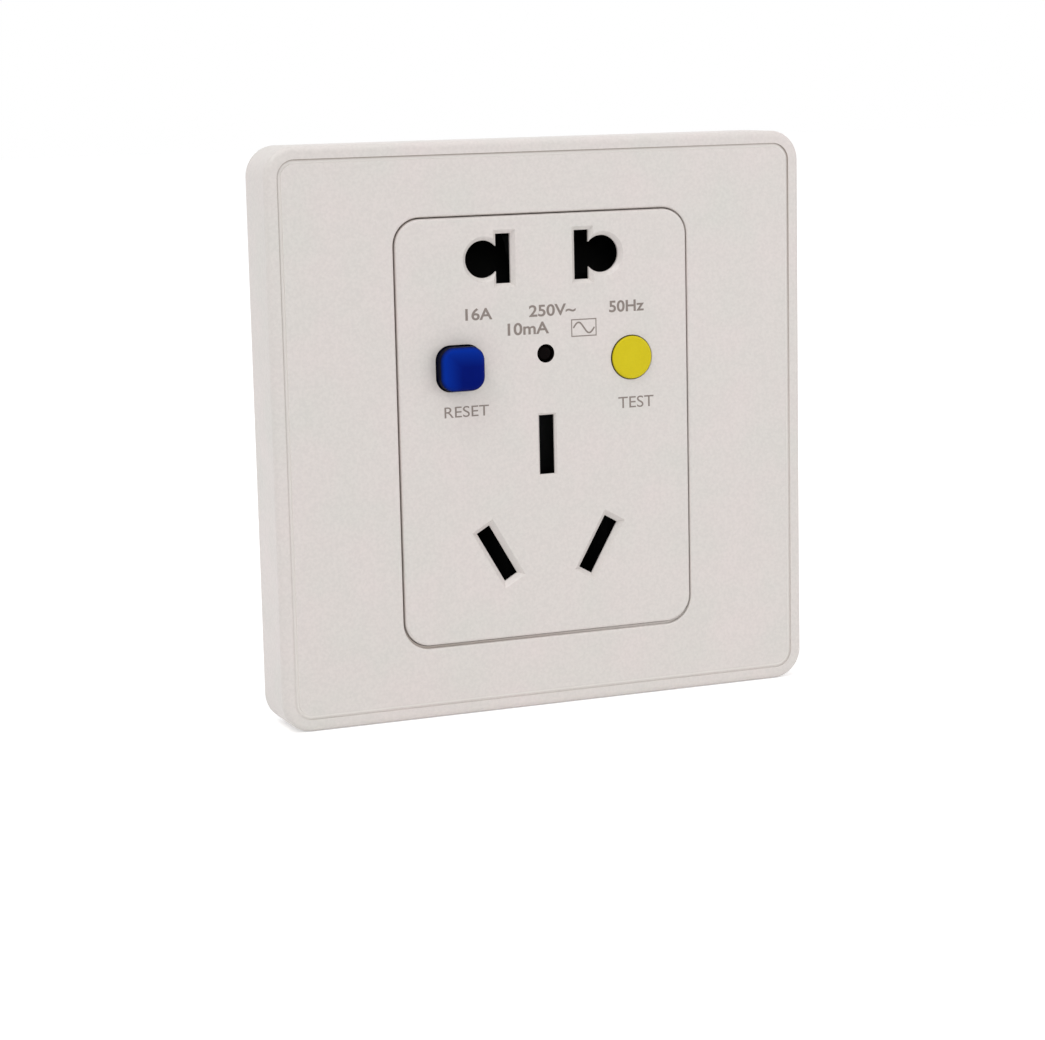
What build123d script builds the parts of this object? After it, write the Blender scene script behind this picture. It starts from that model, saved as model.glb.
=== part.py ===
from build123d import *
import math
import os

# Residual current wall socket, 86 mm square: a removable cover frame round a socket module with
# a two-pin and a 16 A three-pin outlet, a proud RESET button and a low TEST button.
# X is to the right, Z is up, and Y runs into the wall. The wall plane is Y = 0 and the
# origin is the centre of the plate in that plane, so the face lies at negative Y.

# Plate and cover frame; the plate comes to the standard 86 mm
frame_border = 10.88
plate_depth = 9.3
plate_corner = 4.5
plate_edge = 0.9
cover_wall = 2.0
cover_face = 2.0
groove_inset = 1.85
groove_width = 0.6
groove_depth = 0.25
window_corner = 4.2
window_side_shift = 0.08
window_drop = 0.2
window_step = 0.65
window_fit = 0.12
window_edge = 0.3
collar_wall = 1.5
rib_wall = 1.2
rib_depth = 2.2

# Socket module
window_gap = 0.24
panel_face = 2.1
panel_lip = 1.0
panel_wall = 1.6
panel_edge = 0.45
power_lead_in = 0.75
two_pin_lead_in = 0.6
earth_lead_in = 0.3
pocket_margin = 1.1
running_gap = 0.2

# Outlet openings, placed from the button row
two_pin_rise = 8.1
shutter_headroom = 0.68
flat_slot_width = 2.35
flat_slot_height = 7.4
flat_slot_pitch = 12.7
round_hole = 5.6
round_hole_pitch = 19.2
earth_drop = 12.4
earth_slot_width = 2.45
earth_slot_height = 9.0
power_drop = 16.05
power_pitch = 16.68
power_slot_width = 2.35
power_slot_height = 8.8
power_tilt = 30.0

# Buttons and indicator
button_z = 9.6
reset_x = -14.0
reset_width = 7.0
reset_height = 6.6
reset_corner = 2.1
reset_edge = 1.0
reset_proud = 2.3
reset_travel = 2.4
reset_wall = 0.9
button_gap = 0.2
test_gap = 0.7
test_button_dia = 6.6
test_proud = 0.4
test_button_gap = 0.12
test_travel = 1.2
indicator_rise = 1.4
indicator_hole = 2.8
indicator_sink = 0.3

# Mounting plate and wall box fixing
mounting_plate_wall = 3.0
mounting_margin = 0.4
box_screw_margin = 6.38
box_slot_length = 7.5
box_slot_width = 4.5
rim_height = 2.0
rim_wall = 1.4
snap_length = 8.0
snap_reach = 0.7
snap_depth = 1.2

# Rear housing
housing_depth = 28.0
housing_wall = 1.6
housing_back = 2.0
housing_edge = 2.0
seat_depth = 1.2
screw_column = 3.0
column_wall = 0.6
screw_dia = 2.9
screw_head_dia = 5.0
screw_head_height = 1.8
screw_reach = 3.0

# Shutters
shutter_cover = 0.4
shutter_rail = 1.0
shutter_cheek = 0.8
shutter_wedge_back = 0.6
shutter_spring_post = 1.0
two_pin_spring_radius = 1.4
three_pin_spring_radius = 0.9
three_pin_spring_z = -10.9
three_pin_post_x = 6.4

# Inner levels
screw_meet_y = 2.2
screw_clearance = 0.05
shutter_depth = 5.0
block_wall = 1.4
block_skin = 1.2
block_depth = 13.4
partition = 0.8
bus_level = 9.4
bus_wall = 0.6
board_level = 12.0
board_wall = 1.6

# Reset mechanism: contact carrier, latch and fixed contacts round the reset pin
pin_radius = 1.2
pin_neck_radius = 0.8
pin_head_radius = 1.4
pin_collar_radius = 2.0
carrier_travel = 1.6
contact_reach = 3.0
pole_offset = 5.2
contact_radius = 1.1
contact_wall = 0.6
contact_gap = 0.15
tab_width = 2.4
blade_wall = 0.4
blade_rise = 0.45
carrier_wall = 3.7
latch_wall = 0.8
latch_travel = 1.8
latch_height = 6.0

# Contact leaves and the bars behind them
leaf_shoulder_y = 6.0
leaf_throat_y = 3.2
leaf_lip_y = 0.6
leaf_wall = 0.5
bus_clearance = 0.13
bus_gap = 0.4
line_bus_gap = 0.9
line_bus_width = 2.2
neutral_bus_width = 1.8
bus_elbow = 3.0
earth_plate = 4.6
clip_margin = 1.8
terminal_foot = 2.0

# Trip coil, on the board to the right of the latch
coil_drop = 2.6
coil_y = 5.0
coil_left = 3.3
coil_length = 8.2
coil_radius = 3.8
core_radius = 1.8
rod_radius = 0.7
yoke_wall = 0.8

# Circuit board and its parts
board_corner_gap = 0.38
board_terminal_gap = 3.0
sensor_x = 5.5
sensor_rise = 2.0
sensor_radius = 8.4
sensor_bore = 4.0
sensor_gap = 0.7
conductor_radius = 1.1
conductor_drop = 3.8
varistor_x = -10.4
varistor_wall = 3.6
varistor_drop = 6.3
lead_radius = 0.4
tall_part_gap = 1.9
film_x = 7.0
film_width = 12.0
film_height = 5.0
electrolytic_inset = 5.53
electrolytic_radius = 3.15
electrolytic_drop = 16.2
chip_x = -5.5
chip_length = 9.4
chip_width = 6.2
chip_height = 3.8
chip_pitch = 2.54
chip_drop = 11.0
thyristor_x = 5.0
thyristor_radius = 2.3
thyristor_height = 6.6
thyristor_pitch = 1.27
resistor_x = 13.8
resistor_radius = 1.15
resistor_length = 6.2
resistor_pitch = 3.2
resistor_drop = 9.8
diode_x = -9.5
diode_radius = 1.2
diode_length = 4.4
diode_pitch = 3.0

# Terminals
terminal_gap = 5.0
terminal_width = 7.0
terminal_height = 10.0
terminal_depth = 8.0
terminal_rise = 15.28
wire_hole = 3.8
wire_hole_drop = 3.6
clamp_screw_dia = 3.0
clamp_head_dia = 5.2
clamp_head_height = 2.0

# Places along the module, from the button row
coil_right = coil_left + coil_length
test_x = coil_right + yoke_wall + test_gap + contact_radius
line_bus_x = test_x + contact_radius + line_bus_gap + line_bus_width / 2
neutral_bus_x = contact_reach - reset_x + tab_width / 2 + bus_gap + neutral_bus_width / 2
indicator_z = button_z + indicator_rise
coil_z = button_z - coil_drop
two_pin_z = button_z + 1.5 * pole_offset + two_pin_rise
earth_z = button_z - earth_drop
power_z = earth_z - power_drop
two_pin_top = two_pin_z + flat_slot_height / 2 + shutter_cover
two_pin_bottom = two_pin_z - flat_slot_height / 2 - shutter_cover

# Module, window and plate round them
block_reach = max(neutral_bus_x + neutral_bus_width / 2, line_bus_x + line_bus_width / 2)
inner_width = 2 * (block_reach + bus_clearance + block_skin + running_gap)
inner_height = 2 * (two_pin_top + shutter_headroom)
module_width = inner_width + 2 * panel_wall
module_height = inner_height + 2 * panel_wall
module_corner = window_corner - window_gap
inner_corner = module_corner - panel_wall
window_width = module_width + 2 * window_gap
window_height = module_height + 2 * window_gap
plate_side = window_height + 2 * frame_border
box_screw_pitch = window_width + 2 * box_screw_margin

# Worked-out sizes
face_y = -plate_depth
panel_back = face_y + panel_face
plate_front = -mounting_plate_wall
block_front = panel_back + shutter_depth + 3 * running_gap
block_floor = block_front + block_wall
block_rear = block_front + block_depth
block_width = inner_width - 2 * running_gap
block_height = inner_height - 2 * running_gap
board_rear = board_level + board_wall
housing_inner = housing_depth - housing_back
screw_x = inner_width / 2 - screw_column - running_gap / 2
screw_z = inner_height / 2 - screw_column - running_gap / 2
column_radius = screw_column + column_wall
block_notch = column_radius + running_gap
terminal_top = terminal_rise - inner_height / 2
terminal_pitch = terminal_width + terminal_gap
terminal_mid_y = housing_inner - running_gap - terminal_depth / 2
board_bottom = terminal_top + board_terminal_gap
board_top = screw_z - column_radius - board_corner_gap
board_half = block_width / 2 - block_skin - 2 * running_gap
part_room = housing_inner - board_rear
sensor_z = board_bottom + sensor_radius + sensor_rise
conductor_level = housing_inner - conductor_drop
sensor_height = conductor_level - conductor_radius - sensor_gap - board_rear
flat_slot_x = flat_slot_pitch / 2
round_hole_x = round_hole_pitch / 2
power_x = power_pitch / 2

# How far each shutter reaches round its openings, and how far it slides to clear them
two_pin_inner = flat_slot_x - flat_slot_width / 2 - 2.3 * shutter_cover
two_pin_outer = round_hole_x + round_hole / 2 + 2 * shutter_cheek
two_pin_travel = flat_slot_height + shutter_cover + 0.1
tilt_sin = math.sin(math.radians(power_tilt))
tilt_cos = math.cos(math.radians(power_tilt))
power_half_x = power_slot_height / 2 * tilt_sin + power_slot_width / 2 * tilt_cos
power_half_z = power_slot_height / 2 * tilt_cos + power_slot_width / 2 * tilt_sin
three_pin_inner = power_x - power_half_x - shutter_cover / 2
three_pin_outer = power_x + power_half_x + shutter_cover / 2
three_pin_half = power_half_z + shutter_cover / 2
three_pin_travel = 2 * power_half_x + shutter_cover
shutter_front = panel_back + running_gap
shutter_back = shutter_front + shutter_depth


def level(y):
    """Upright sketch plane at depth y; a positive extrude comes towards the viewer."""
    return Plane.XZ.offset(-y)


def two_pin_outline(grow=0.0):
    """Both round holes with the flat slots beside them."""
    with Locations((-round_hole_x, two_pin_z), (round_hole_x, two_pin_z)):
        Circle(round_hole / 2 + grow)
    with Locations((-flat_slot_x, two_pin_z), (flat_slot_x, two_pin_z)):
        Rectangle(flat_slot_width + 2 * grow, flat_slot_height + 2 * grow)


def earth_outline(grow=0.0):
    """The upright earth slot."""
    with Locations((0, earth_z)):
        Rectangle(earth_slot_width + 2 * grow, earth_slot_height + 2 * grow)


def power_outline(grow=0.0):
    """The two slanted slots of the three-pin outlet."""
    for side in (-1, 1):
        with Locations((side * power_x, power_z)):
            Rectangle(
                power_slot_width + 2 * grow,
                power_slot_height + 2 * grow,
                rotation=-side * power_tilt,
            )


def coil_spring(start, axis, length, radius, wire, turns):
    """Helical spring of square wire from start along axis."""
    with BuildPart() as spring:
        with BuildLine() as helix:
            Helix(
                pitch=(length - 2 * wire) / turns,
                height=length - 2 * wire,
                radius=radius,
                center=Vector(*start) + Vector(*axis) * wire,
                direction=axis,
            )
        with BuildSketch(Plane(helix.line @ 0, z_dir=helix.line % 0)):
            Rectangle(wire, wire)
        sweep(path=helix.line)
    return spring.part


os.makedirs("parts", exist_ok=True)

# Cover frame: a square shell, open at the back, with a collar round the module's window
with BuildPart() as cover_frame:
    with BuildSketch(level(0)):
        RectangleRounded(plate_side, plate_side, plate_corner)
    extrude(amount=plate_depth)
    fillet(cover_frame.faces().sort_by(Axis.Y)[0].edges(), plate_edge)
    with BuildSketch(level(0)):
        RectangleRounded(
            plate_side - 2 * cover_wall,
            plate_side - 2 * cover_wall,
            plate_corner - cover_wall,
        )
    extrude(amount=plate_depth - cover_face, mode=Mode.SUBTRACT)
    # collar and ribs behind the face
    with BuildSketch(level(plate_front - running_gap)):
        RectangleRounded(
            window_width + 2 * collar_wall,
            window_height + 2 * collar_wall,
            window_corner + collar_wall,
        )
    extrude(amount=plate_depth - mounting_plate_wall - running_gap - cover_face / 2)
    with BuildSketch(level(face_y + cover_face + rib_depth)):
        for z in (-window_height / 4, window_height / 4):
            with Locations((0, z)):
                Rectangle(plate_side - cover_wall, rib_wall)
        for x in (-window_width / 4, window_width / 4):
            with Locations((x, 0)):
                Rectangle(rib_wall, plate_side - cover_wall)
    extrude(amount=rib_depth + cover_face / 2)
    # window, wider in front of a step; the frame hangs a little low and to the left
    with BuildSketch(level(0)):
        RectangleRounded(
            module_width + 2 * window_fit,
            module_height + 2 * window_fit,
            module_corner + window_fit,
        )
    extrude(amount=plate_depth, mode=Mode.SUBTRACT)
    with BuildSketch(level(face_y + window_step)):
        with Locations((-window_side_shift, -window_drop / 2)):
            RectangleRounded(window_width, window_height + window_drop, window_corner)
    extrude(amount=window_step, mode=Mode.SUBTRACT)
    window_rim = cover_frame.edges().filter_by_position(Axis.Y, face_y - 0.01, face_y + 0.01)
    rim_x = window_width / 2 + window_edge
    rim_z = window_height / 2 + window_edge
    window_rim = window_rim.filter_by(lambda e: abs(e.center().X) < rim_x and abs(e.center().Z) < rim_z)
    fillet(window_rim, window_edge)
    # decorative groove that runs round the face near its edge
    groove_outer = plate_side - 2 * groove_inset
    groove_inner = groove_outer - 2 * groove_width
    with BuildSketch(level(face_y + groove_depth)):
        RectangleRounded(groove_outer, groove_outer, plate_corner - groove_inset)
        RectangleRounded(
            groove_inner,
            groove_inner,
            plate_corner - groove_inset - groove_width,
            mode=Mode.SUBTRACT,
        )
    extrude(amount=groove_depth, mode=Mode.SUBTRACT)
    # snap barbs at the back edge of the inner walls
    wall_inner = plate_side / 2 - cover_wall
    for turn in range(4):
        for along in (-0.55 * wall_inner, 0.55 * wall_inner):
            barb_plane = Plane.XY.offset(along - snap_length / 2)
            with BuildSketch(barb_plane, mode=Mode.PRIVATE) as barb:
                with BuildLine():
                    Polyline(
                        (wall_inner + 0.3, -0.2),
                        (wall_inner, -0.2),
                        (wall_inner - snap_reach, -snap_depth + 0.2),
                        (wall_inner - snap_reach, -snap_depth),
                        (wall_inner + 0.3, -snap_depth),
                        close=True,
                    )
                make_face()
            barb_solid = extrude(barb.sketch, amount=snap_length, mode=Mode.PRIVATE)
            add(barb_solid.rotate(Axis.Y, 90 * turn))
    # pry notch for a screwdriver in the lower edge
    with BuildSketch(level(0)):
        with Locations((0, -plate_side / 2)):
            Rectangle(snap_length, 4 * cover_wall)
    extrude(amount=seat_depth, mode=Mode.SUBTRACT)
cover_frame.part.label = "cover_frame"
export_step(cover_frame.part, "parts/cover_frame.step")


# Front panel of the module: flush face with the outlet openings, side walls and screw posts
with BuildPart() as face_panel:
    with BuildSketch(level(plate_front)):
        RectangleRounded(module_width, module_height, module_corner)
    extrude(amount=plate_front - face_y)
    fillet(face_panel.faces().sort_by(Axis.Y)[0].edges(), panel_edge)
    with BuildSketch(level(plate_front)):
        RectangleRounded(inner_width, inner_height, inner_corner)
    extrude(amount=plate_front - panel_back, mode=Mode.SUBTRACT)
    # guide ribs beside the two shutters
    guide_low = two_pin_bottom - two_pin_travel + 2 * partition
    guide_x = two_pin_outer + running_gap + partition / 2
    guide_z = three_pin_half + shutter_rail + running_gap + partition / 2
    with BuildSketch(level(shutter_back - 2 * running_gap)):
        for side in (-1, 1):
            with Locations((side * guide_x, (guide_low + two_pin_top) / 2)):
                Rectangle(partition, two_pin_top - guide_low)
        with Locations((0, power_z - guide_z)):
            Rectangle(2 * screw_x, partition)
        with Locations((power_x + power_half_x, power_z + guide_z)):
            Rectangle(2 * three_pin_travel, partition)
    extrude(amount=shutter_depth)
    # screw posts in the corners
    with BuildSketch(level(screw_meet_y - running_gap)):
        with GridLocations(2 * screw_x, 2 * screw_z, 2, 2):
            Circle(screw_column)
    extrude(amount=screw_meet_y - running_gap - panel_back + panel_face / 2)
    with BuildSketch(level(screw_meet_y)):
        with GridLocations(2 * screw_x, 2 * screw_z, 2, 2):
            Circle(screw_dia / 2 + screw_clearance)
    extrude(amount=screw_meet_y - panel_back, mode=Mode.SUBTRACT)
    # pockets that thin the face to a lip round the openings
    with BuildSketch(level(panel_back)):
        two_pin_outline(pocket_margin)
        power_outline(pocket_margin)
        with Locations((0, indicator_z)):
            Circle(indicator_hole / 2 + pocket_margin)
    extrude(amount=panel_face - panel_lip, mode=Mode.SUBTRACT)
    with BuildSketch(level(panel_back)):
        earth_outline(pocket_margin)
    extrude(amount=panel_face - 2 * earth_lead_in, mode=Mode.SUBTRACT)
    # outlet openings with their 45 degree lead-in
    with BuildSketch(level(panel_back)):
        two_pin_outline()
        power_outline()
        earth_outline()
        with Locations((0, indicator_z)):
            Circle(indicator_hole / 2)
        with Locations((test_x, button_z)):
            Circle(test_button_dia / 2 + test_button_gap)
        with Locations((reset_x, button_z)):
            RectangleRounded(
                reset_width + 2 * button_gap,
                reset_height + 2 * button_gap,
                reset_corner + button_gap,
            )
    extrude(amount=panel_face, mode=Mode.SUBTRACT)
    with BuildSketch(level(face_y + power_lead_in)):
        power_outline()
    extrude(amount=power_lead_in, taper=-45, mode=Mode.SUBTRACT)
    with BuildSketch(level(face_y + two_pin_lead_in)):
        two_pin_outline()
    extrude(amount=two_pin_lead_in, taper=-45, mode=Mode.SUBTRACT)
    with BuildSketch(level(face_y + earth_lead_in)):
        earth_outline()
    extrude(amount=earth_lead_in, taper=-45, mode=Mode.SUBTRACT)
face_panel.part.label = "face_panel"
export_step(face_panel.part, "parts/face_panel.step")

# Mounting plate: lies on the wall, clamped between the panel and the rear housing
plate_half = plate_side / 2 - cover_wall - mounting_margin
with BuildPart() as mounting_plate:
    with BuildSketch(level(0)):
        RectangleRounded(2 * plate_half, 2 * plate_half, plate_corner - cover_wall)
    extrude(amount=mounting_plate_wall)
    # stiffening rim
    with BuildSketch(level(plate_front)):
        RectangleRounded(2 * plate_half, 2 * plate_half, plate_corner - cover_wall)
        Rectangle(2 * (plate_half - rim_wall), 2 * (plate_half - rim_wall), mode=Mode.SUBTRACT)
    extrude(amount=rim_height)
    with BuildSketch(level(0)):
        with GridLocations(box_screw_pitch, 1, 2, 1):
            SlotOverall(box_slot_length, box_slot_width)
        RectangleRounded(inner_width, inner_height, inner_corner)
    extrude(amount=2 * mounting_plate_wall, mode=Mode.SUBTRACT)
    # recess that takes the rear housing's rim
    with BuildSketch(level(0)):
        RectangleRounded(
            module_width + 2 * running_gap,
            module_height + 2 * running_gap,
            module_corner + running_gap,
        )
    extrude(amount=seat_depth, mode=Mode.SUBTRACT)
    # rebates behind the edge for the cover's snap barbs
    with BuildSketch(level(0)):
        for along in (-0.55 * wall_inner, 0.55 * wall_inner):
            for side in (-1, 1):
                with Locations((along, side * plate_half), (side * plate_half, along)):
                    Rectangle(snap_length + 4 * running_gap, snap_length + 4 * running_gap)
        Rectangle(2 * plate_half - 2 * rim_wall, 2 * plate_half - 2 * rim_wall, mode=Mode.SUBTRACT)
    extrude(amount=snap_depth + running_gap, mode=Mode.SUBTRACT)
mounting_plate.part.label = "mounting_plate"
export_step(mounting_plate.part, "parts/mounting_plate.step")

# Rear housing: a deep box with screw columns, board posts and the terminals' chambers
post_x = screw_x - pin_radius
post_z = (board_bottom + 1.8 * pin_radius, board_top - 1.8 * pin_radius)
with BuildPart() as rear_housing:
    with BuildSketch(level(housing_depth)):
        RectangleRounded(module_width, module_height, module_corner)
    extrude(amount=housing_depth + seat_depth)
    fillet(rear_housing.faces().sort_by(Axis.Y)[-1].edges(), housing_edge)
    with BuildSketch(level(housing_inner)):
        RectangleRounded(inner_width, inner_height, inner_corner)
    extrude(amount=housing_inner + seat_depth, mode=Mode.SUBTRACT)
    with BuildSketch(level(housing_inner)):
        with GridLocations(2 * screw_x, 2 * screw_z, 2, 2):
            Circle(column_radius)
        RectangleRounded(inner_width, inner_height, inner_corner, mode=Mode.INTERSECT)
    extrude(amount=housing_inner - screw_meet_y)
    # posts that the board rests on
    with BuildSketch(level(housing_inner)):
        for z in post_z:
            with GridLocations(2 * post_x, 1, 2, 1):
                with Locations((0, z)):
                    Circle(1.4 * pin_radius)
    extrude(amount=housing_inner - board_rear)
    # ledges under the contact block's rim, and walls between the terminals
    ledge_reach = inner_width / 2 - block_width / 2 + 1.2
    with BuildSketch(level(board_rear)):
        for side in (-1, 1):
            for z in (board_bottom, board_top - snap_length):
                with Locations((side * (inner_width / 2 - ledge_reach / 2), z)):
                    Rectangle(ledge_reach, snap_length / 2)
    extrude(amount=board_rear - block_rear - running_gap)
    terminal_floor = terminal_top + conductor_radius
    with BuildSketch(level(housing_inner)):
        for side in (-1, 1):
            with Locations((side * terminal_pitch / 2, (terminal_floor - inner_height / 2) / 2)):
                Rectangle(partition, terminal_floor + inner_height / 2)
    extrude(amount=terminal_depth + 2 * partition)
    # screw holes with counterbored heads
    with BuildSketch(level(housing_depth)):
        with GridLocations(2 * screw_x, 2 * screw_z, 2, 2):
            Circle(screw_dia / 2 + screw_clearance)
    extrude(amount=housing_depth, mode=Mode.SUBTRACT)
    with BuildSketch(level(housing_depth)):
        with GridLocations(2 * screw_x, 2 * screw_z, 2, 2):
            Circle(screw_head_dia / 2 + running_gap)
    extrude(amount=housing_back + 1, mode=Mode.SUBTRACT)
    # wire entries in the back, clamp screw openings in the lower wall
    with BuildSketch(level(housing_depth)):
        with GridLocations(terminal_pitch, 1, 3, 1):
            with Locations((0, terminal_top - wire_hole_drop)):
                Circle(wire_hole / 2)
    extrude(amount=housing_back, mode=Mode.SUBTRACT)
    with BuildSketch(Plane.XY.offset(-module_height / 2)):
        with Locations((0, terminal_mid_y)):
            with GridLocations(terminal_pitch, 1, 3, 1):
                Circle(clamp_head_dia / 2 + running_gap)
    extrude(amount=housing_wall + running_gap, mode=Mode.SUBTRACT)
rear_housing.part.label = "rear_housing"
export_step(rear_housing.part, "parts/rear_housing.step")

# Contact block: a tray behind the shutters with a chamber for each contact and the mechanism
tube_radius = indicator_hole / 2 + 0.3
with BuildPart() as contact_block:
    with BuildSketch(level(block_rear)):
        Rectangle(block_width, block_height)
        with GridLocations(2 * screw_x, 2 * screw_z, 2, 2):
            Rectangle(2 * block_notch, 2 * block_notch, mode=Mode.SUBTRACT)
    extrude(amount=block_depth)
    with BuildSketch(level(block_rear)):
        Rectangle(block_width - 2 * block_skin, block_height - 2 * block_skin)
        with GridLocations(2 * screw_x, 2 * screw_z, 2, 2):
            Rectangle(
                2 * (block_notch + block_skin), 2 * (block_notch + block_skin), mode=Mode.SUBTRACT
            )
    extrude(amount=block_rear - block_floor, mode=Mode.SUBTRACT)
    # partitions between the chambers; the bus strips lie on their rims
    with BuildSketch(level(bus_level)):
        for z in (two_pin_bottom - shutter_rail, earth_z - earth_slot_height / 2 - 3 * partition):
            with Locations((0, z)):
                Rectangle(block_width - block_skin, partition)
        with Locations((0, two_pin_z)):
            Rectangle(partition, flat_slot_height + 2 * shutter_rail)
        with Locations((0, power_z - partition)):
            Rectangle(partition, block_height / 2 + power_z + 6 * partition)
        for side in (-1, 1):
            with Locations((side * 5 * partition, earth_z - partition)):
                Rectangle(partition, earth_slot_height)
    extrude(amount=bus_level - block_floor)
    # light tube for the indicator and the shutter springs' posts
    with BuildSketch(level(block_front)):
        with Locations((0, indicator_z)):
            Circle(tube_radius + 0.6)
        with Locations((0, indicator_z + tube_radius + 0.4 + shutter_spring_post / 2)):
            Rectangle(2 * shutter_spring_post, shutter_spring_post)
    extrude(amount=block_front - panel_back - running_gap)
    with BuildSketch(level(block_front)):
        with Locations((three_pin_post_x + shutter_spring_post / 2, three_pin_spring_z)):
            Rectangle(shutter_spring_post, 2 * three_pin_spring_radius)
    extrude(amount=block_front - shutter_front - 4 * running_gap)
    # passages for the plug pins, the two stems and the indicator
    with BuildSketch(level(block_floor)):
        two_pin_outline(running_gap)
        power_outline(running_gap)
        earth_outline(running_gap)
        with Locations((reset_x, button_z), (test_x, button_z)):
            Circle(pin_radius + running_gap)
    extrude(amount=block_wall, mode=Mode.SUBTRACT)
    with BuildSketch(level(block_floor)):
        with Locations((0, indicator_z)):
            Circle(tube_radius)
    extrude(amount=block_floor - panel_back, mode=Mode.SUBTRACT)
contact_block.part.label = "contact_block"
export_step(contact_block.part, "parts/contact_block.step")

# Two-pin shutter: two wedges on a bridge, pushed down by both plug pins together
spring_post_top = indicator_z + tube_radius + 0.4 + shutter_spring_post
with BuildPart() as two_pin_shutter:
    with BuildSketch(level(shutter_back)):
        for side in (-1, 1):
            with Locations((side * (two_pin_inner + two_pin_outer) / 2, two_pin_z)):
                Rectangle(two_pin_outer - two_pin_inner, two_pin_top - two_pin_bottom)
    extrude(amount=shutter_depth)
    # the wedge face between the outer cheeks
    wedge_reach = two_pin_outer - shutter_cheek
    with BuildSketch(Plane.YZ.offset(-wedge_reach)):
        with BuildLine():
            Polyline(
                (shutter_front, two_pin_bottom + 2 * shutter_wedge_back),
                (shutter_front, two_pin_top),
                (shutter_back - shutter_wedge_back, two_pin_top),
                close=True,
            )
        make_face()
    extrude(amount=2 * wedge_reach, mode=Mode.SUBTRACT)
    with BuildSketch(level(shutter_back)):
        with Locations((0, two_pin_top - shutter_rail / 2)):
            Rectangle(2 * two_pin_inner, shutter_rail)
    extrude(amount=shutter_depth)
two_pin_shutter.part.label = "two_pin_shutter"
export_step(two_pin_shutter.part, "parts/two_pin_shutter.step")

# Three-pin shutter: a frame with two wedges that slides to the right
with BuildPart() as three_pin_shutter:
    left_centre = (-(three_pin_inner + three_pin_outer) / 2, power_z)
    right_centre = ((three_pin_inner + three_pin_outer) / 2, power_z)
    with BuildSketch(level(shutter_back)):
        with Locations(left_centre, right_centre):
            Rectangle(three_pin_outer - three_pin_inner, 2 * three_pin_half)
    extrude(amount=shutter_depth)
    for x_left in (-three_pin_outer, three_pin_inner):
        with BuildSketch(Plane.XY.offset(power_z - three_pin_half)):
            with BuildLine():
                Polyline(
                    (x_left, shutter_front),
                    (x_left, shutter_back - shutter_wedge_back),
                    (x_left + three_pin_outer - three_pin_inner - 2 * shutter_wedge_back, shutter_front),
                    close=True,
                )
            make_face()
        extrude(amount=2 * three_pin_half, mode=Mode.SUBTRACT)
    rail_right = three_pin_inner + 1.5 * shutter_rail
    with BuildSketch(level(shutter_back)):
        for side in (-1, 1):
            rail_z = power_z + side * (three_pin_half + shutter_rail / 2)
            with Locations(((rail_right - three_pin_outer) / 2, rail_z)):
                Rectangle(rail_right + three_pin_outer, shutter_rail)
        lug_height = three_pin_spring_z + three_pin_spring_radius - power_z - three_pin_half
        with Locations((-three_pin_outer + shutter_rail / 2, power_z + three_pin_half + lug_height / 2)):
            Rectangle(shutter_rail, lug_height)
    extrude(amount=shutter_depth)
three_pin_shutter.part.label = "three_pin_shutter"
export_step(three_pin_shutter.part, "parts/three_pin_shutter.step")

# Return springs of the two shutters
shutter_mid_y = (shutter_front + shutter_back) / 2
two_pin_shutter_spring = coil_spring(
    start=(0, shutter_mid_y, spring_post_top),
    axis=(0, 0, 1),
    length=two_pin_top - shutter_rail - spring_post_top,
    radius=two_pin_spring_radius,
    wire=0.35,
    turns=7,
)
two_pin_shutter_spring.label = "two_pin_shutter_spring"
export_step(two_pin_shutter_spring, "parts/two_pin_shutter_spring.step")

three_pin_shutter_spring = coil_spring(
    start=(-three_pin_outer + shutter_rail, shutter_mid_y, three_pin_spring_z),
    axis=(1, 0, 0),
    length=three_pin_post_x + three_pin_outer - shutter_rail,
    radius=three_pin_spring_radius,
    wire=0.3,
    turns=8,
)
three_pin_shutter_spring.label = "three_pin_shutter_spring"
export_step(three_pin_shutter_spring, "parts/three_pin_shutter_spring.step")

# Reset button: a hollow cap with side wings that stay behind the panel
reset_top = face_y - reset_proud
wing_front = panel_back + button_gap
wing_back = wing_front + screw_column / 2 - button_gap
with BuildPart() as reset_button:
    with BuildSketch(level(wing_back)):
        with Locations((reset_x, button_z)):
            RectangleRounded(reset_width, reset_height, reset_corner)
    extrude(amount=wing_back - reset_top)
    fillet(reset_button.faces().sort_by(Axis.Y)[0].edges(), reset_edge)
    with BuildSketch(level(wing_back)):
        with Locations((reset_x, button_z)):
            Rectangle(reset_width + 2 * pin_radius, reset_height - 2 * button_gap)
    extrude(amount=wing_back - wing_front)
    with BuildSketch(level(wing_back)):
        with Locations((reset_x, button_z)):
            RectangleRounded(
                reset_width - 2 * reset_wall,
                reset_height - 2 * reset_wall,
                reset_corner - reset_wall,
            )
    extrude(amount=wing_back - reset_top - 2 * reset_wall, mode=Mode.SUBTRACT)
    with BuildSketch(level(wing_back - 2 * reset_wall)):
        with Locations((reset_x, button_z)):
            Circle(pin_radius + 0.5)
            Circle(pin_radius, mode=Mode.SUBTRACT)
    extrude(amount=wing_back - 2 * reset_wall - reset_top - reset_wall)
reset_button.part.label = "reset_button"
export_step(reset_button.part, "parts/reset_button.step")

# Levels of the mechanism behind the block's floor
fixed_face = block_floor + bus_wall + contact_wall
moving_face = fixed_face + contact_gap
carrier_front = moving_face + 0.5 + blade_rise + blade_wall
carrier_back = carrier_front + carrier_wall
latch_front = carrier_back + running_gap
latch_back = latch_front + latch_wall
contact_left = reset_x - contact_reach
contact_right = reset_x + contact_reach
pole_high = button_z + pole_offset
pole_low = button_z - pole_offset

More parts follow.
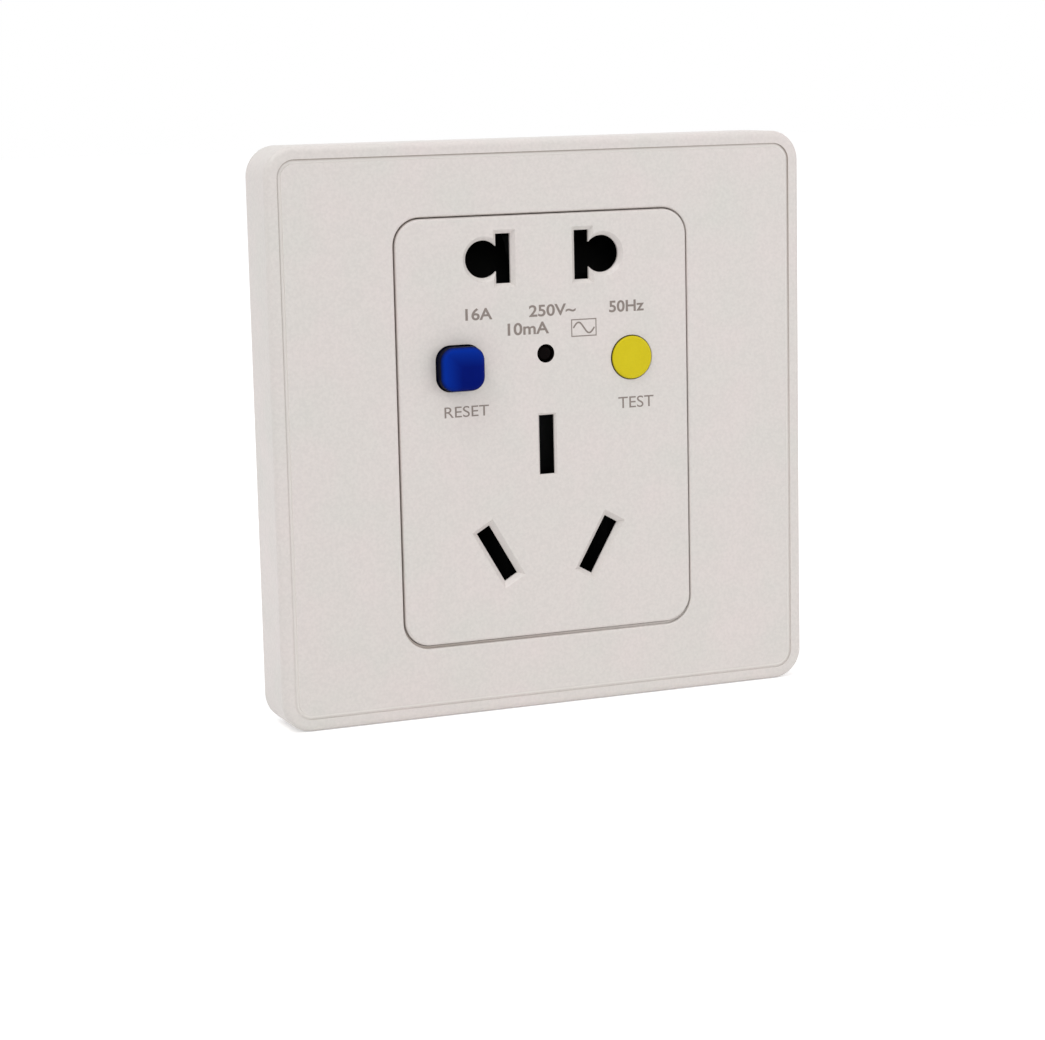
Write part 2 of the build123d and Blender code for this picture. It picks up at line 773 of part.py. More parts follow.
# Reset pin: pressed into the button; its collar pushes the carrier, its head holds the latch
neck_start = latch_front - (reset_travel - carrier_travel) - 2.5 * running_gap
head_front = latch_back + 1.5 * running_gap
with BuildPart() as reset_pin:
    with BuildSketch(Plane.XY.offset(button_z)):
        with BuildLine():
            Polyline(
                (reset_x, reset_top + 2 * reset_wall),
                (reset_x + pin_radius, reset_top + 2 * reset_wall),
                (reset_x + pin_radius, block_floor + 2 * running_gap),
                (reset_x + pin_collar_radius, block_floor + 2 * running_gap),
                (reset_x + pin_collar_radius, fixed_face),
                (reset_x + pin_radius, fixed_face),
                (reset_x + pin_radius, neck_start),
                (reset_x + pin_neck_radius, neck_start),
                (reset_x + pin_neck_radius, head_front),
                (reset_x + pin_head_radius, head_front),
                (reset_x + pin_head_radius, head_front + pin_neck_radius),
                (reset_x + pin_neck_radius / 2, head_front + 2 * pin_neck_radius),
                (reset_x, head_front + 2 * pin_neck_radius),
                close=True,
            )
        make_face()
    revolve(axis=Axis((reset_x, 0, button_z), (0, 1, 0)))
reset_pin.part.label = "reset_pin"
export_step(reset_pin.part, "parts/reset_pin.step")

reset_spring = coil_spring(
    start=(reset_x, reset_top + 2 * reset_wall, button_z),
    axis=(0, 1, 0),
    length=block_front - reset_top - 2 * reset_wall,
    radius=pin_radius + 0.85,
    wire=0.35,
    turns=5,
)
reset_spring.label = "reset_spring"
export_step(reset_spring, "parts/reset_spring.step")

# Test button: a round cap with a collar behind the panel and a stem through the block
with BuildPart() as test_button:
    with BuildSketch(level(wing_back)):
        with Locations((test_x, button_z)):
            Circle(test_button_dia / 2)
    extrude(amount=wing_back - face_y + test_proud)
    fillet(test_button.faces().sort_by(Axis.Y)[0].edges(), 0.9 * test_proud)
    with BuildSketch(level(wing_back)):
        with Locations((test_x, button_z)):
            Circle(test_button_dia / 2 + 3 * button_gap)
            Rectangle(test_button_dia + 6, test_button_dia + button_gap, mode=Mode.INTERSECT)
    extrude(amount=wing_back - wing_front)
    with BuildSketch(level(block_floor + 6.5 * running_gap)):
        with Locations((test_x, button_z)):
            Circle(pin_radius)
    extrude(amount=block_floor + 6.5 * running_gap - wing_back)
test_button.part.label = "test_button"
export_step(test_button.part, "parts/test_button.step")

# Test spring: a bent leaf on the board that the stem presses onto the test post
leaf_front = block_floor + 7.5 * running_gap
leaf_foot_z = coil_z - 4.2
with BuildPart() as test_spring:
    with BuildSketch(Plane.YZ.offset(test_x - contact_radius)):
        with BuildLine():
            FilletPolyline(
                (board_level, leaf_foot_z),
                (leaf_front + blade_wall / 2, leaf_foot_z),
                (leaf_front + blade_wall / 2, button_z + 2 * pin_radius),
                radius=1.0,
            )
        trace(line_width=blade_wall)
    extrude(amount=2 * contact_radius)
test_spring.part.label = "test_spring"
export_step(test_spring.part, "parts/test_spring.step")

with BuildPart() as test_post:
    with BuildSketch(level(board_level)):
        with Locations((test_x, button_z + pin_radius)):
            Circle(pin_neck_radius)
    extrude(amount=board_level - leaf_front - blade_wall - test_travel - running_gap)
test_post.part.label = "test_post"
export_step(test_post.part, "parts/test_post.step")

# Contact carrier: a moulded bridge that slides on the reset pin
guard = 1.2
with BuildPart() as contact_carrier:
    with BuildSketch(level(carrier_back)):
        with Locations((reset_x, button_z)):
            Rectangle(2 * (contact_reach + guard), 2 * (pole_offset + 1.6))
        with Locations((contact_right + guard, button_z)):
            Rectangle(2 * guard, 2 * (pole_offset - 1.6), mode=Mode.SUBTRACT)
        with Locations((reset_x, button_z)):
            Circle(pin_radius + 0.25, mode=Mode.SUBTRACT)
    extrude(amount=carrier_wall)
    # rails with lips that hold the latch, and the latch spring's post
    rail_end = reset_x + 0.4
    rail_length = rail_end - contact_left + guard - running_gap
    rail_mid_x = rail_end - rail_length / 2
    for side in (-1, 1):
        with BuildSketch(level(latch_back + running_gap)):
            rail_mid_z = button_z + side * (latch_height / 2 + running_gap + partition / 2)
            with Locations((rail_mid_x, rail_mid_z)):
                Rectangle(rail_length, partition)
        extrude(amount=latch_back + running_gap - carrier_back)
        with BuildSketch(level(latch_back + running_gap + blade_wall)):
            with Locations((rail_mid_x, rail_mid_z - side * partition / 2)):
                Rectangle(rail_length, 2 * partition)
        extrude(amount=blade_wall)
    latch_spring_z = button_z + latch_height / 2 + 2.25 * partition
    latch_post_x = contact_left + running_gap
    with BuildSketch(level(latch_back + 2.5 * running_gap)):
        with Locations((latch_post_x - partition / 2, latch_spring_z)):
            Rectangle(partition, 1.4)
    extrude(amount=latch_back + 2.5 * running_gap - carrier_back)
contact_carrier.part.label = "contact_carrier"
export_step(contact_carrier.part, "parts/contact_carrier.step")

# Moving contacts: bowed spring blades with a silver tip at each end
for name, pole_z in (("line_moving_contact", pole_high), ("neutral_moving_contact", pole_low)):
    with BuildPart() as moving_contact:
        blade_end_y = moving_face + 0.5 + blade_wall / 2
        with BuildSketch(Plane.XY.offset(pole_z - contact_radius)):
            with BuildLine():
                ThreePointArc(
                    (contact_left - contact_radius, blade_end_y),
                    (reset_x, blade_end_y + blade_rise),
                    (contact_right + contact_radius, blade_end_y),
                )
            trace(line_width=blade_wall)
        extrude(amount=2 * contact_radius)
        with BuildSketch(level(blade_end_y + 0.1)):
            with Locations((contact_left, pole_z), (contact_right, pole_z)):
                Circle(contact_radius)
        extrude(amount=blade_end_y + 0.1 - moving_face)
    moving_contact.part.label = name
    export_step(moving_contact.part, "parts/" + name + ".step")

carrier_spring = coil_spring(
    start=(reset_x, block_floor, button_z),
    axis=(0, 1, 0),
    length=carrier_front - block_floor,
    radius=pin_collar_radius + 0.6,
    wire=0.35,
    turns=3,
)
carrier_spring.label = "carrier_spring"
export_step(carrier_spring, "parts/carrier_spring.step")

# Latch plate: keyhole slides under the pin's head; its bent end meets the plunger
latch_left = reset_x - 3 * pin_neck_radius
tab_right = contact_right + guard + latch_travel
with BuildPart() as latch_plate:
    with BuildSketch(level(latch_back)):
        with Locations(((latch_left + tab_right) / 2, button_z)):
            Rectangle(tab_right - latch_left, latch_height)
        lug_x = latch_post_x + 5.7
        with Locations((lug_x, latch_spring_z - partition / 2)):
            Rectangle(latch_wall, 2.4)
        with Locations((reset_x, button_z)):
            Circle(pin_neck_radius + running_gap, mode=Mode.SUBTRACT)
        with Locations((reset_x + latch_travel / 2, button_z)):
            Rectangle(latch_travel, 2 * (pin_neck_radius + running_gap), mode=Mode.SUBTRACT)
        with Locations((reset_x + latch_travel, button_z)):
            Circle(pin_head_radius + running_gap, mode=Mode.SUBTRACT)
    extrude(amount=latch_wall)
    with BuildSketch(level(latch_front)):
        with Locations((tab_right - latch_wall / 2, button_z)):
            Rectangle(latch_wall, latch_height)
    extrude(amount=latch_front - carrier_front - 4 * running_gap)
latch_plate.part.label = "latch_plate"
export_step(latch_plate.part, "parts/latch_plate.step")

latch_spring = coil_spring(
    start=(latch_post_x, latch_back - 0.1, latch_spring_z),
    axis=(1, 0, 0),
    length=lug_x - latch_wall / 2 - latch_post_x,
    radius=0.55,
    wire=0.22,
    turns=5,
)
latch_spring.label = "latch_spring"
export_step(latch_spring, "parts/latch_spring.step")

# Trip coil: bobbin, winding and yoke, with the plunger that pushes the latch
coil_axis = Plane(origin=(coil_left, coil_y, coil_z), x_dir=(0, 1, 0), z_dir=(1, 0, 0))
bobbin_radius = core_radius + running_gap + 0.6
with BuildPart() as coil_bobbin:
    with BuildSketch(coil_axis):
        Circle(bobbin_radius)
    extrude(amount=coil_length)
    for flange_x in (0, coil_length - partition):
        with BuildSketch(coil_axis.offset(flange_x)):
            Circle(coil_radius)
        extrude(amount=partition)
    with BuildSketch(coil_axis):
        Circle(core_radius + running_gap)
    extrude(amount=coil_length, mode=Mode.SUBTRACT)
coil_bobbin.part.label = "coil_bobbin"
export_step(coil_bobbin.part, "parts/coil_bobbin.step")

with BuildPart() as coil_winding:
    with BuildSketch(coil_axis.offset(partition)):
        Circle(coil_radius - running_gap)
        Circle(bobbin_radius, mode=Mode.SUBTRACT)
    extrude(amount=coil_length - 2 * partition)
coil_winding.part.label = "coil_winding"
export_step(coil_winding.part, "parts/coil_winding.step")

with BuildPart() as coil_yoke:
    yoke_low = coil_z - coil_radius
    yoke_high = coil_z + coil_radius + yoke_wall / 2 + 0.1
    with BuildSketch(level(coil_y + coil_radius)):
        with BuildLine():
            Polyline(
                (coil_left - yoke_wall / 2, yoke_low),
                (coil_left - yoke_wall / 2, yoke_high),
                (coil_right + yoke_wall / 2, yoke_high),
                (coil_right + yoke_wall / 2, yoke_low),
            )
        trace(line_width=yoke_wall)
    extrude(amount=2 * coil_radius)
    with BuildSketch(level(board_level)):
        with Locations((coil_left - yoke_wall / 2, coil_z), (coil_right + yoke_wall / 2, coil_z)):
            Rectangle(yoke_wall, coil_radius)
    extrude(amount=board_level - coil_y - coil_radius)
    with BuildSketch(coil_axis.offset(-yoke_wall)):
        Circle(rod_radius + 2 * running_gap)
    extrude(amount=yoke_wall, mode=Mode.SUBTRACT)
coil_yoke.part.label = "coil_yoke"
export_step(coil_yoke.part, "parts/coil_yoke.step")

with BuildPart() as trip_plunger:
    core_left = coil_left + latch_travel + running_gap
    with BuildSketch(coil_axis.offset(core_left - coil_left)):
        Circle(core_radius)
    extrude(amount=coil_right - running_gap - core_left)
    rod_left = tab_right + running_gap / 2
    with BuildSketch(coil_axis.offset(rod_left - coil_left)):
        Circle(rod_radius)
    extrude(amount=core_left - rod_left)
trip_plunger.part.label = "trip_plunger"
export_step(trip_plunger.part, "parts/trip_plunger.step")


def fixed_contact(x, pole_z, side, back_y):
    """Tab on the block's floor with a silver button, and its riser back to back_y."""
    edge = pole_z + side * (pole_offset / 2)
    with BuildPart() as contact:
        with BuildSketch(level(block_floor + bus_wall)):
            with Locations((x, (pole_z - side * contact_radius + edge) / 2)):
                Rectangle(tab_width, abs(edge - pole_z) + contact_radius)
        extrude(amount=bus_wall)
        with BuildSketch(level(fixed_face)):
            with Locations((x, pole_z)):
                Circle(contact_radius)
        extrude(amount=contact_wall)
        with BuildSketch(level(back_y)):
            with Locations((x, edge - side * bus_wall / 2)):
                Rectangle(tab_width, bus_wall)
        extrude(amount=back_y - block_floor)
    return contact.part


def spring_leaf(plane, points, length):
    """Bent contact leaf, drawn as a line in the plane and given its strip width."""
    with BuildPart() as leaf:
        with BuildSketch(plane):
            with BuildLine():
                Polyline(*points)
            trace(line_width=leaf_wall)
        extrude(amount=length)
    return leaf.part


def clip_points(x_root, x_throat, x_lip):
    """Line of one contact leaf, from the bus strip to its flared lip."""
    return (
        (x_root, bus_level + bus_wall / 2),
        (x_root, leaf_shoulder_y),
        (x_throat, leaf_throat_y),
        (x_lip, leaf_lip_y),
    )


def bus_strip(side, bus_points, bus_width):
    """Stamped strip behind both outlets: the clips' feet and the bar between them."""
    with BuildPart() as strip:
        with BuildSketch(level(bus_level + bus_wall)):
            with Locations((side * (clip_inner + clip_outer) / 2, two_pin_z)):
                Rectangle(clip_outer - clip_inner + 1.2, two_pin_clip_height)
            with Locations((side * power_x, power_z)):
                Rectangle(4.2, power_clip_height, rotation=-side * power_tilt)
            with BuildLine():
                Polyline(*[(side * x, z) for x, z in bus_points])
            trace(line_width=bus_width)
        extrude(amount=bus_wall)
    return strip.part


def pole_clips(side):
    """Leaves of the two-pin clip, for flat and round pins, and of the slanted clip."""
    leaves = []
    two_pin_plane = Plane.XY.offset(two_pin_z - two_pin_clip_height / 2)
    for x_root, x_throat, x_lip in (
        (clip_inner, flat_slot_x - 0.9, clip_inner),
        (flat_slot_x + 1.25, flat_slot_x + 0.95, flat_slot_x + 1.3),
        (clip_outer, clip_outer - 0.5, clip_outer + 0.2),
    ):
        points = clip_points(side * x_root, side * x_throat, side * x_lip)
        leaves.append(spring_leaf(two_pin_plane, points, two_pin_clip_height))
    along = Vector(side * tilt_sin, 0, tilt_cos)
    across = Vector(tilt_cos, 0, -side * tilt_sin)
    middle = Vector(side * power_x, 0, power_z)
    slant_plane = Plane(origin=middle - along * power_clip_height / 2, x_dir=across, z_dir=along)
    for edge in (-1, 1):
        points = clip_points(edge * 1.4, edge * 1.05, edge * 1.5)
        leaves.append(spring_leaf(slant_plane, points, power_clip_height))
    return leaves


# Line contact, on the right as seen from the front
two_pin_clip_height = flat_slot_height - 2.2
power_clip_height = power_slot_height - clip_margin + running_gap
clip_inner = flat_slot_x - flat_slot_width / 2 - 0.3
clip_outer = round_hole_x + round_hole / 2 + 0.1
bus_foot_z = two_pin_z - clip_inner / 4
bus_bend_z = power_z + (clip_outer - clip_inner) * 0.76
line_path = (
    (clip_outer, bus_foot_z),
    (clip_outer, two_pin_z - 1.9 * bus_elbow),
    (line_bus_x, two_pin_z - 2.9 * bus_elbow),
    (line_bus_x, bus_bend_z),
    (power_x + 1.2, power_z),
)
crossing_z = pole_high + pole_offset / 2 + 0.4
with BuildPart() as line_contact:
    add(bus_strip(1, line_path, line_bus_width))
    add(pole_clips(1))
    add(fixed_contact(contact_right, pole_high, 1, bus_level + bus_wall))
    with BuildSketch(level(bus_level + bus_wall)):
        with Locations(((contact_right - tab_width / 2 + line_bus_x) / 2, crossing_z)):
            Rectangle(line_bus_x - contact_right + tab_width / 2, 2.0)
    extrude(amount=bus_wall)
line_contact.part.label = "line_contact"
export_step(line_contact.part, "parts/line_contact.step")

# Neutral contact, on the left
neutral_path = (
    (clip_outer - 0.2, bus_foot_z),
    (clip_outer - 0.2, two_pin_z - 1.43 * bus_elbow),
    (neutral_bus_x, two_pin_z - 2.03 * bus_elbow),
    (neutral_bus_x, bus_bend_z),
    (power_x + 1.2, power_z),
)
link_z = pole_low - pole_offset / 2 - 0.4
with BuildPart() as neutral_contact:
    add(bus_strip(-1, neutral_path, neutral_bus_width))
    add(pole_clips(-1))
    add(fixed_contact(contact_left, pole_low, -1, bus_level + bus_wall))
    with BuildSketch(level(bus_level + bus_wall)):
        with Locations(((contact_left + tab_width / 2 - neutral_bus_x) / 2, link_z)):
            Rectangle(neutral_bus_x + contact_left + tab_width / 2, 2.0)
    extrude(amount=bus_wall)
neutral_contact.part.label = "neutral_contact"
export_step(neutral_contact.part, "parts/neutral_contact.step")

# Input contacts, soldered through the board
input_end = board_rear + bus_wall
for name, x, pole_z, side in (
    ("line_input_contact", contact_left, pole_high, 1),
    ("neutral_input_contact", contact_right, pole_low, -1),
):
    with BuildPart() as input_contact:
        add(fixed_contact(x, pole_z, side, input_end))
    input_contact.part.label = name
    export_step(input_contact.part, "parts/" + name + ".step")

# Earth contact: upright clip, with a strip down to the middle terminal
earth_half = (earth_slot_height - clip_margin) / 2
strip_width = 3.0
strip_end = terminal_top
with BuildPart() as earth_contact:
    with BuildSketch(level(bus_level + bus_wall)):
        with Locations((0, earth_z)):
            Rectangle(earth_plate, 2 * earth_half)
        with Locations((0, (earth_z + strip_end) / 2)):
            Rectangle(strip_width, earth_z - strip_end)
    extrude(amount=bus_wall)
    with BuildSketch(level(terminal_mid_y + terminal_foot)):
        with Locations((0, strip_end + bus_wall / 2)):
            Rectangle(strip_width, bus_wall)
    extrude(amount=terminal_mid_y + terminal_foot - bus_level)
    for edge in (-1, 1):
        earth_points = clip_points(edge * 1.6, edge * 1.2, edge * 1.7)
        add(spring_leaf(Plane.XY.offset(earth_z - earth_half), earth_points, 2 * earth_half))
earth_contact.part.label = "earth_contact"
export_step(earth_contact.part, "parts/earth_contact.step")

# Terminals: brass blocks with a wire hole from the back and a clamp screw from below
for name, column in (("neutral_terminal", -1), ("earth_terminal", 0), ("line_terminal", 1)):
    with BuildPart() as terminal:
        mid_x = column * terminal_pitch
        with BuildSketch(level(terminal_mid_y + terminal_depth / 2)):
            with Locations((mid_x, terminal_top - terminal_height / 2)):
                Rectangle(terminal_width, terminal_height)
            with Locations((mid_x, terminal_top - wire_hole_drop)):
                Circle(wire_hole / 2, mode=Mode.SUBTRACT)
        extrude(amount=terminal_depth)
        with BuildSketch(Plane.XY.offset(terminal_top - terminal_height)):
            with Locations((mid_x, terminal_mid_y)):
                Circle(clamp_screw_dia / 2 + screw_clearance)
        extrude(amount=terminal_height - wire_hole_drop, mode=Mode.SUBTRACT)
    terminal.part.label = name
    export_step(terminal.part, "parts/" + name + ".step")

with BuildPart() as terminal_screws:
    head_low = -module_height / 2 + 2 * running_gap
    shank_top = terminal_top - wire_hole_drop - wire_hole / 2 - 2 * running_gap
    with BuildSketch(Plane.XY.offset(head_low)):
        with Locations((0, terminal_mid_y)):
            with GridLocations(terminal_pitch, 1, 3, 1):
                Circle(clamp_head_dia / 2)
    extrude(amount=clamp_head_height)
    with BuildSketch(Plane.XY.offset(head_low + clamp_head_height)):
        with Locations((0, terminal_mid_y)):
            with GridLocations(terminal_pitch, 1, 3, 1):
                Circle(clamp_screw_dia / 2)
    extrude(amount=shank_top - head_low - clamp_head_height)
    with BuildSketch(Plane.XY.offset(head_low)):
        with Locations((0, terminal_mid_y)):
            with GridLocations(terminal_pitch, 1, 3, 1):
                Rectangle(clamp_head_dia - 1, 0.8)
    extrude(amount=0.8, mode=Mode.SUBTRACT)
terminal_screws.part.label = "terminal_screws"
export_step(terminal_screws.part, "parts/terminal_screws.step")

# Housing screws: four long screws from the back into the panel's posts
head_seat = housing_depth - housing_back - 1
with BuildPart() as housing_screws:
    with BuildSketch(level(head_seat + screw_head_height)):
        with GridLocations(2 * screw_x, 2 * screw_z, 2, 2):
            Circle(screw_head_dia / 2)
    extrude(amount=screw_head_height)
    with BuildSketch(level(head_seat)):
        with GridLocations(2 * screw_x, 2 * screw_z, 2, 2):
            Circle(screw_dia / 2)
    extrude(amount=head_seat + screw_reach)
    with BuildSketch(level(head_seat + screw_head_height)):
        with GridLocations(2 * screw_x, 2 * screw_z, 2, 2):
            Rectangle(0.6 * screw_head_dia, 0.14 * screw_head_dia)
            Rectangle(0.14 * screw_head_dia, 0.6 * screw_head_dia)
    extrude(amount=screw_head_height / 2, mode=Mode.SUBTRACT)
housing_screws.part.label = "housing_screws"
export_step(housing_screws.part, "parts/housing_screws.step")

# Circuit board, slotted for the two input contacts
with BuildPart() as circuit_board:
    with BuildSketch(level(board_rear)):
        with Locations((0, (board_top + board_bottom) / 2)):
            Rectangle(2 * board_half, board_top - board_bottom)
        for x, pole_z, side in ((contact_left, pole_high, 1), (contact_right, pole_low, -1)):
            with Locations((x, pole_z + side * (pole_offset / 2 - bus_wall / 2))):
                Rectangle(tab_width + running_gap, bus_wall + running_gap, mode=Mode.SUBTRACT)
    extrude(amount=board_wall)
circuit_board.part.label = "circuit_board"
export_step(circuit_board.part, "parts/circuit_board.step")

# Residual current sensor: a ring core in an open case, round both conductors
with BuildPart() as sensor_case:
    with BuildSketch(level(board_rear + sensor_height)):
        with Locations((sensor_x, sensor_z)):
            Circle(sensor_radius)
            Circle(sensor_bore, mode=Mode.SUBTRACT)
    extrude(amount=sensor_height)
    with BuildSketch(level(board_rear + sensor_height)):
        with Locations((sensor_x, sensor_z)):
            Circle(sensor_radius - partition)
            Circle(sensor_bore + partition, mode=Mode.SUBTRACT)
    extrude(amount=sensor_height - partition, mode=Mode.SUBTRACT)
sensor_case.part.label = "sensor_case"
export_step(sensor_case.part, "parts/sensor_case.step")

with BuildPart() as sensor_core:
    with BuildSketch(level(board_rear + sensor_height - partition)):
        with Locations((sensor_x, sensor_z)):
            Circle(sensor_radius - partition - running_gap)
            Circle(sensor_bore + partition + running_gap, mode=Mode.SUBTRACT)
    extrude(amount=sensor_height - 2 * partition)
sensor_core.part.label = "sensor_core"
export_step(sensor_core.part, "parts/sensor_core.step")

# Insulated conductors from the terminals, through the ring, to the board
for name, side, bore_x, bend_z in (
    ("line_conductor", 1, sensor_x + 1.5, terminal_top + 8.0),
    ("neutral_conductor", -1, sensor_x - 1.5, terminal_top + 6.0),
):
    with BuildPart() as conductor:
        with BuildLine() as route:
            FilletPolyline(
                (side * terminal_pitch, conductor_level, terminal_top),
                (side * terminal_pitch, conductor_level, bend_z),
                (bore_x, conductor_level, sensor_z),
                (bore_x, board_rear, sensor_z),
                radius=2 * conductor_radius,
            )
        with BuildSketch(Plane(route.line @ 0, z_dir=route.line % 0)):
            Circle(conductor_radius)
        sweep(path=route.line)
    conductor.part.label = name
    export_step(conductor.part, "parts/" + name + ".step")

# Surge varistor: a disc on two legs
varistor_radius = (part_room - tall_part_gap - lead_radius) / 2
varistor_z = board_top - varistor_drop + varistor_wall / 2
with BuildPart() as varistor:
    with BuildSketch(Plane.XY.offset(board_top - varistor_drop)):
        with Locations((varistor_x, board_rear + varistor_radius + 1.0)):
            Circle(varistor_radius)
    extrude(amount=varistor_wall)
    with BuildSketch(level(board_rear + varistor_radius / 2 + 0.5)):
        with Locations((varistor_x, varistor_z)):
            with GridLocations(varistor_radius, 1, 2, 1):
                Circle(lead_radius)
    extrude(amount=varistor_radius / 2 + 0.5)
varistor.part.label = "varistor"
export_step(varistor.part, "parts/varistor.step")

film_depth = part_room - tall_part_gap - 0.5
with BuildPart() as film_capacitor:
    with BuildSketch(level(board_rear + film_depth)):
        with Locations((film_x, board_top - film_height / 2 - running_gap)):
            RectangleRounded(film_width, film_height, 0.5)
    extrude(amount=film_depth)
film_capacitor.part.label = "film_capacitor"
export_step(film_capacitor.part, "parts/film_capacitor.step")

electrolytic_depth = part_room - tall_part_gap
with BuildPart() as electrolytic_capacitor:
    with BuildSketch(level(board_rear + electrolytic_depth)):
        with Locations((electrolytic_inset - board_half, board_top - electrolytic_drop)):
            Circle(electrolytic_radius)
    extrude(amount=electrolytic_depth)
    fillet(electrolytic_capacitor.faces().sort_by(Axis.Y)[-1].edges(), 0.5)
electrolytic_capacitor.part.label = "electrolytic_capacitor"
export_step(electrolytic_capacitor.part, "parts/electrolytic_capacitor.step")

# Control chip in a dual in-line case
with BuildPart() as control_chip:
    with BuildSketch(level(board_rear + chip_height)):
        with Locations((chip_x, board_top - chip_drop)):
            Rectangle(chip_length, chip_width)
    extrude(amount=chip_height - 0.5)
    with BuildSketch(level(board_rear + chip_height / 2)):
        with Locations((chip_x, board_top - chip_drop)):
            with GridLocations(chip_pitch, chip_width + 0.6, 4, 2):
                Rectangle(0.9, 0.7)
    extrude(amount=chip_height / 2)
control_chip.part.label = "control_chip"
export_step(control_chip.part, "parts/control_chip.step")

with BuildPart() as thyristor:
    with BuildSketch(level(board_rear + thyristor_height)):
        with Locations((thyristor_x, board_top - chip_drop)):
            Circle(thyristor_radius)
            with Locations((0, thyristor_radius)):
                Rectangle(3 * thyristor_radius, 2.0, mode=Mode.SUBTRACT)
    extrude(amount=0.7 * thyristor_height)
    with BuildSketch(level(board_rear + 0.3 * thyristor_height)):
        with Locations((thyristor_x, board_top - chip_drop)):
            with GridLocations(thyristor_pitch, 1, 3, 1):
                Rectangle(0.5, 0.5)
    extrude(amount=0.3 * thyristor_height)
thyristor.part.label = "thyristor"
export_step(thyristor.part, "parts/thyristor.step")

# Axial resistors and rectifier diodes, lying on the board
resistor_z = board_top - resistor_drop
diode_z = board_bottom + 2 * diode_pitch + 0.5
for name, row_x, row_z, row_pitch, count, body_radius, body_length in (
    ("resistors", resistor_x, resistor_z, resistor_pitch, 3, resistor_radius, resistor_length),
    ("diodes", diode_x, diode_z, diode_pitch, 4, diode_radius, diode_length),
):
    with BuildPart() as axial_parts:
        row_start = (row_x - body_length / 2, board_rear + body_radius, row_z)
        row_plane = Plane(origin=row_start, x_dir=(0, 1, 0), z_dir=(1, 0, 0))
        with BuildSketch(row_plane):
            with GridLocations(1, row_pitch, 1, count):
                Circle(body_radius)
        extrude(amount=body_length)
        with BuildSketch(row_plane.offset(-1.0)):
            with GridLocations(1, row_pitch, 1, count):
                Circle(lead_radius)
        extrude(amount=body_length + 2.0)
    axial_parts.part.label = name
    export_step(axial_parts.part, "parts/" + name + ".step")

# Indicator LED with a long lens through the light tube, on two leads from the board
led_radius = indicator_hole / 2 - 0.1
led_front = face_y + indicator_sink
with BuildPart() as indicator_led:
    with BuildSketch(level(block_floor)):
        with Locations((0, indicator_z)):
            Circle(led_radius)
    extrude(amount=block_floor - led_front)
    fillet(indicator_led.faces().sort_by(Axis.Y)[0].edges(), led_radius / 2)
    with BuildSketch(level(block_floor)):
        with Locations((0, indicator_z)):
            Circle(tube_radius - 0.1)
    extrude(amount=partition)
    with BuildSketch(level(board_level)):
        with Locations((-0.64, indicator_z), (0.64, indicator_z)):
            Rectangle(0.5, 0.5)
    extrude(amount=board_level - block_floor)
indicator_led.part.label = "indicator_led"
export_step(indicator_led.part, "parts/indicator_led.step")
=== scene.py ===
import bpy
import bmesh
import math
from mathutils import Matrix, Vector


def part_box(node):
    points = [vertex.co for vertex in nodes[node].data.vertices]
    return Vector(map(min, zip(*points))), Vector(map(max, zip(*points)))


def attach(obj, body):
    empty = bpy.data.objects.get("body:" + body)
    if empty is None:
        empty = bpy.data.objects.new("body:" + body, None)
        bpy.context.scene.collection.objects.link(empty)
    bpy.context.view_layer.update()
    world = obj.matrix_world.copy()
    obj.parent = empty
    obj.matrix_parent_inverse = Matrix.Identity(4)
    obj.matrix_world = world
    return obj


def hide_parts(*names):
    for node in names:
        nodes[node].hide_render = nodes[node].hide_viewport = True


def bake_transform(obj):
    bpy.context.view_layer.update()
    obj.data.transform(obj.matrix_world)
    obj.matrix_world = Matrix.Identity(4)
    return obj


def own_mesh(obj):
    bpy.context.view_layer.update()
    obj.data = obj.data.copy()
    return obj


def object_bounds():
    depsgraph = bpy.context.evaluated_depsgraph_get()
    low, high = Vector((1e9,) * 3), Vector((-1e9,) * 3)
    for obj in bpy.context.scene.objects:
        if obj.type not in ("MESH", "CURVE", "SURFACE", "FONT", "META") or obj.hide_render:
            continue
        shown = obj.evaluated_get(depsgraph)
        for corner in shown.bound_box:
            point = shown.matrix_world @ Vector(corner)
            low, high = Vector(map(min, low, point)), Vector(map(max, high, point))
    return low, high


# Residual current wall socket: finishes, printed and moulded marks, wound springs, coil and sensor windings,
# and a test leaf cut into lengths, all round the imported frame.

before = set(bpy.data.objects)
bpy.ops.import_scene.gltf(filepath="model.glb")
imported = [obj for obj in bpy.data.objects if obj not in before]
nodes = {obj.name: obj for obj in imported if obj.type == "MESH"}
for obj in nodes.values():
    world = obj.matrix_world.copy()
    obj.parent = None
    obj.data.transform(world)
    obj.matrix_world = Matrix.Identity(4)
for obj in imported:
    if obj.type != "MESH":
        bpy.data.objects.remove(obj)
mm = 0.001
cadLow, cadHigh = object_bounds()
print("frame loaded:", len(nodes), "nodes")


def linearColour(hexText):
    # sRGB hex to the linear values that the shader wants
    parts = [int(hexText[i:i + 2], 16) / 255 for i in (1, 3, 5)]
    return tuple(p / 12.92 if p <= 0.04045 else ((p + 0.055) / 1.055) ** 2.4 for p in parts) + (1.0,)


def addNode(tree, kind, values=None, links=None, **settings):
    # one node, with its settings, its socket values and the sockets that feed it
    node = tree.nodes.new(kind)
    for name, value in settings.items():
        setattr(node, name, value)
    for socket, value in (values or {}).items():
        node.inputs[socket].default_value = value
    for socket, source in (links or {}).items():
        tree.links.new(source, node.inputs[socket])
    return node


def calc(tree, operation, first, second=None):
    # one sum on two sockets or numbers
    node = addNode(tree, "ShaderNodeMath", operation=operation)
    for i, value in enumerate((first, second)):
        if value is None:
            continue
        if isinstance(value, (int, float)):
            node.inputs[i].default_value = value
        else:
            tree.links.new(value, node.inputs[i])
    return node.outputs[0]


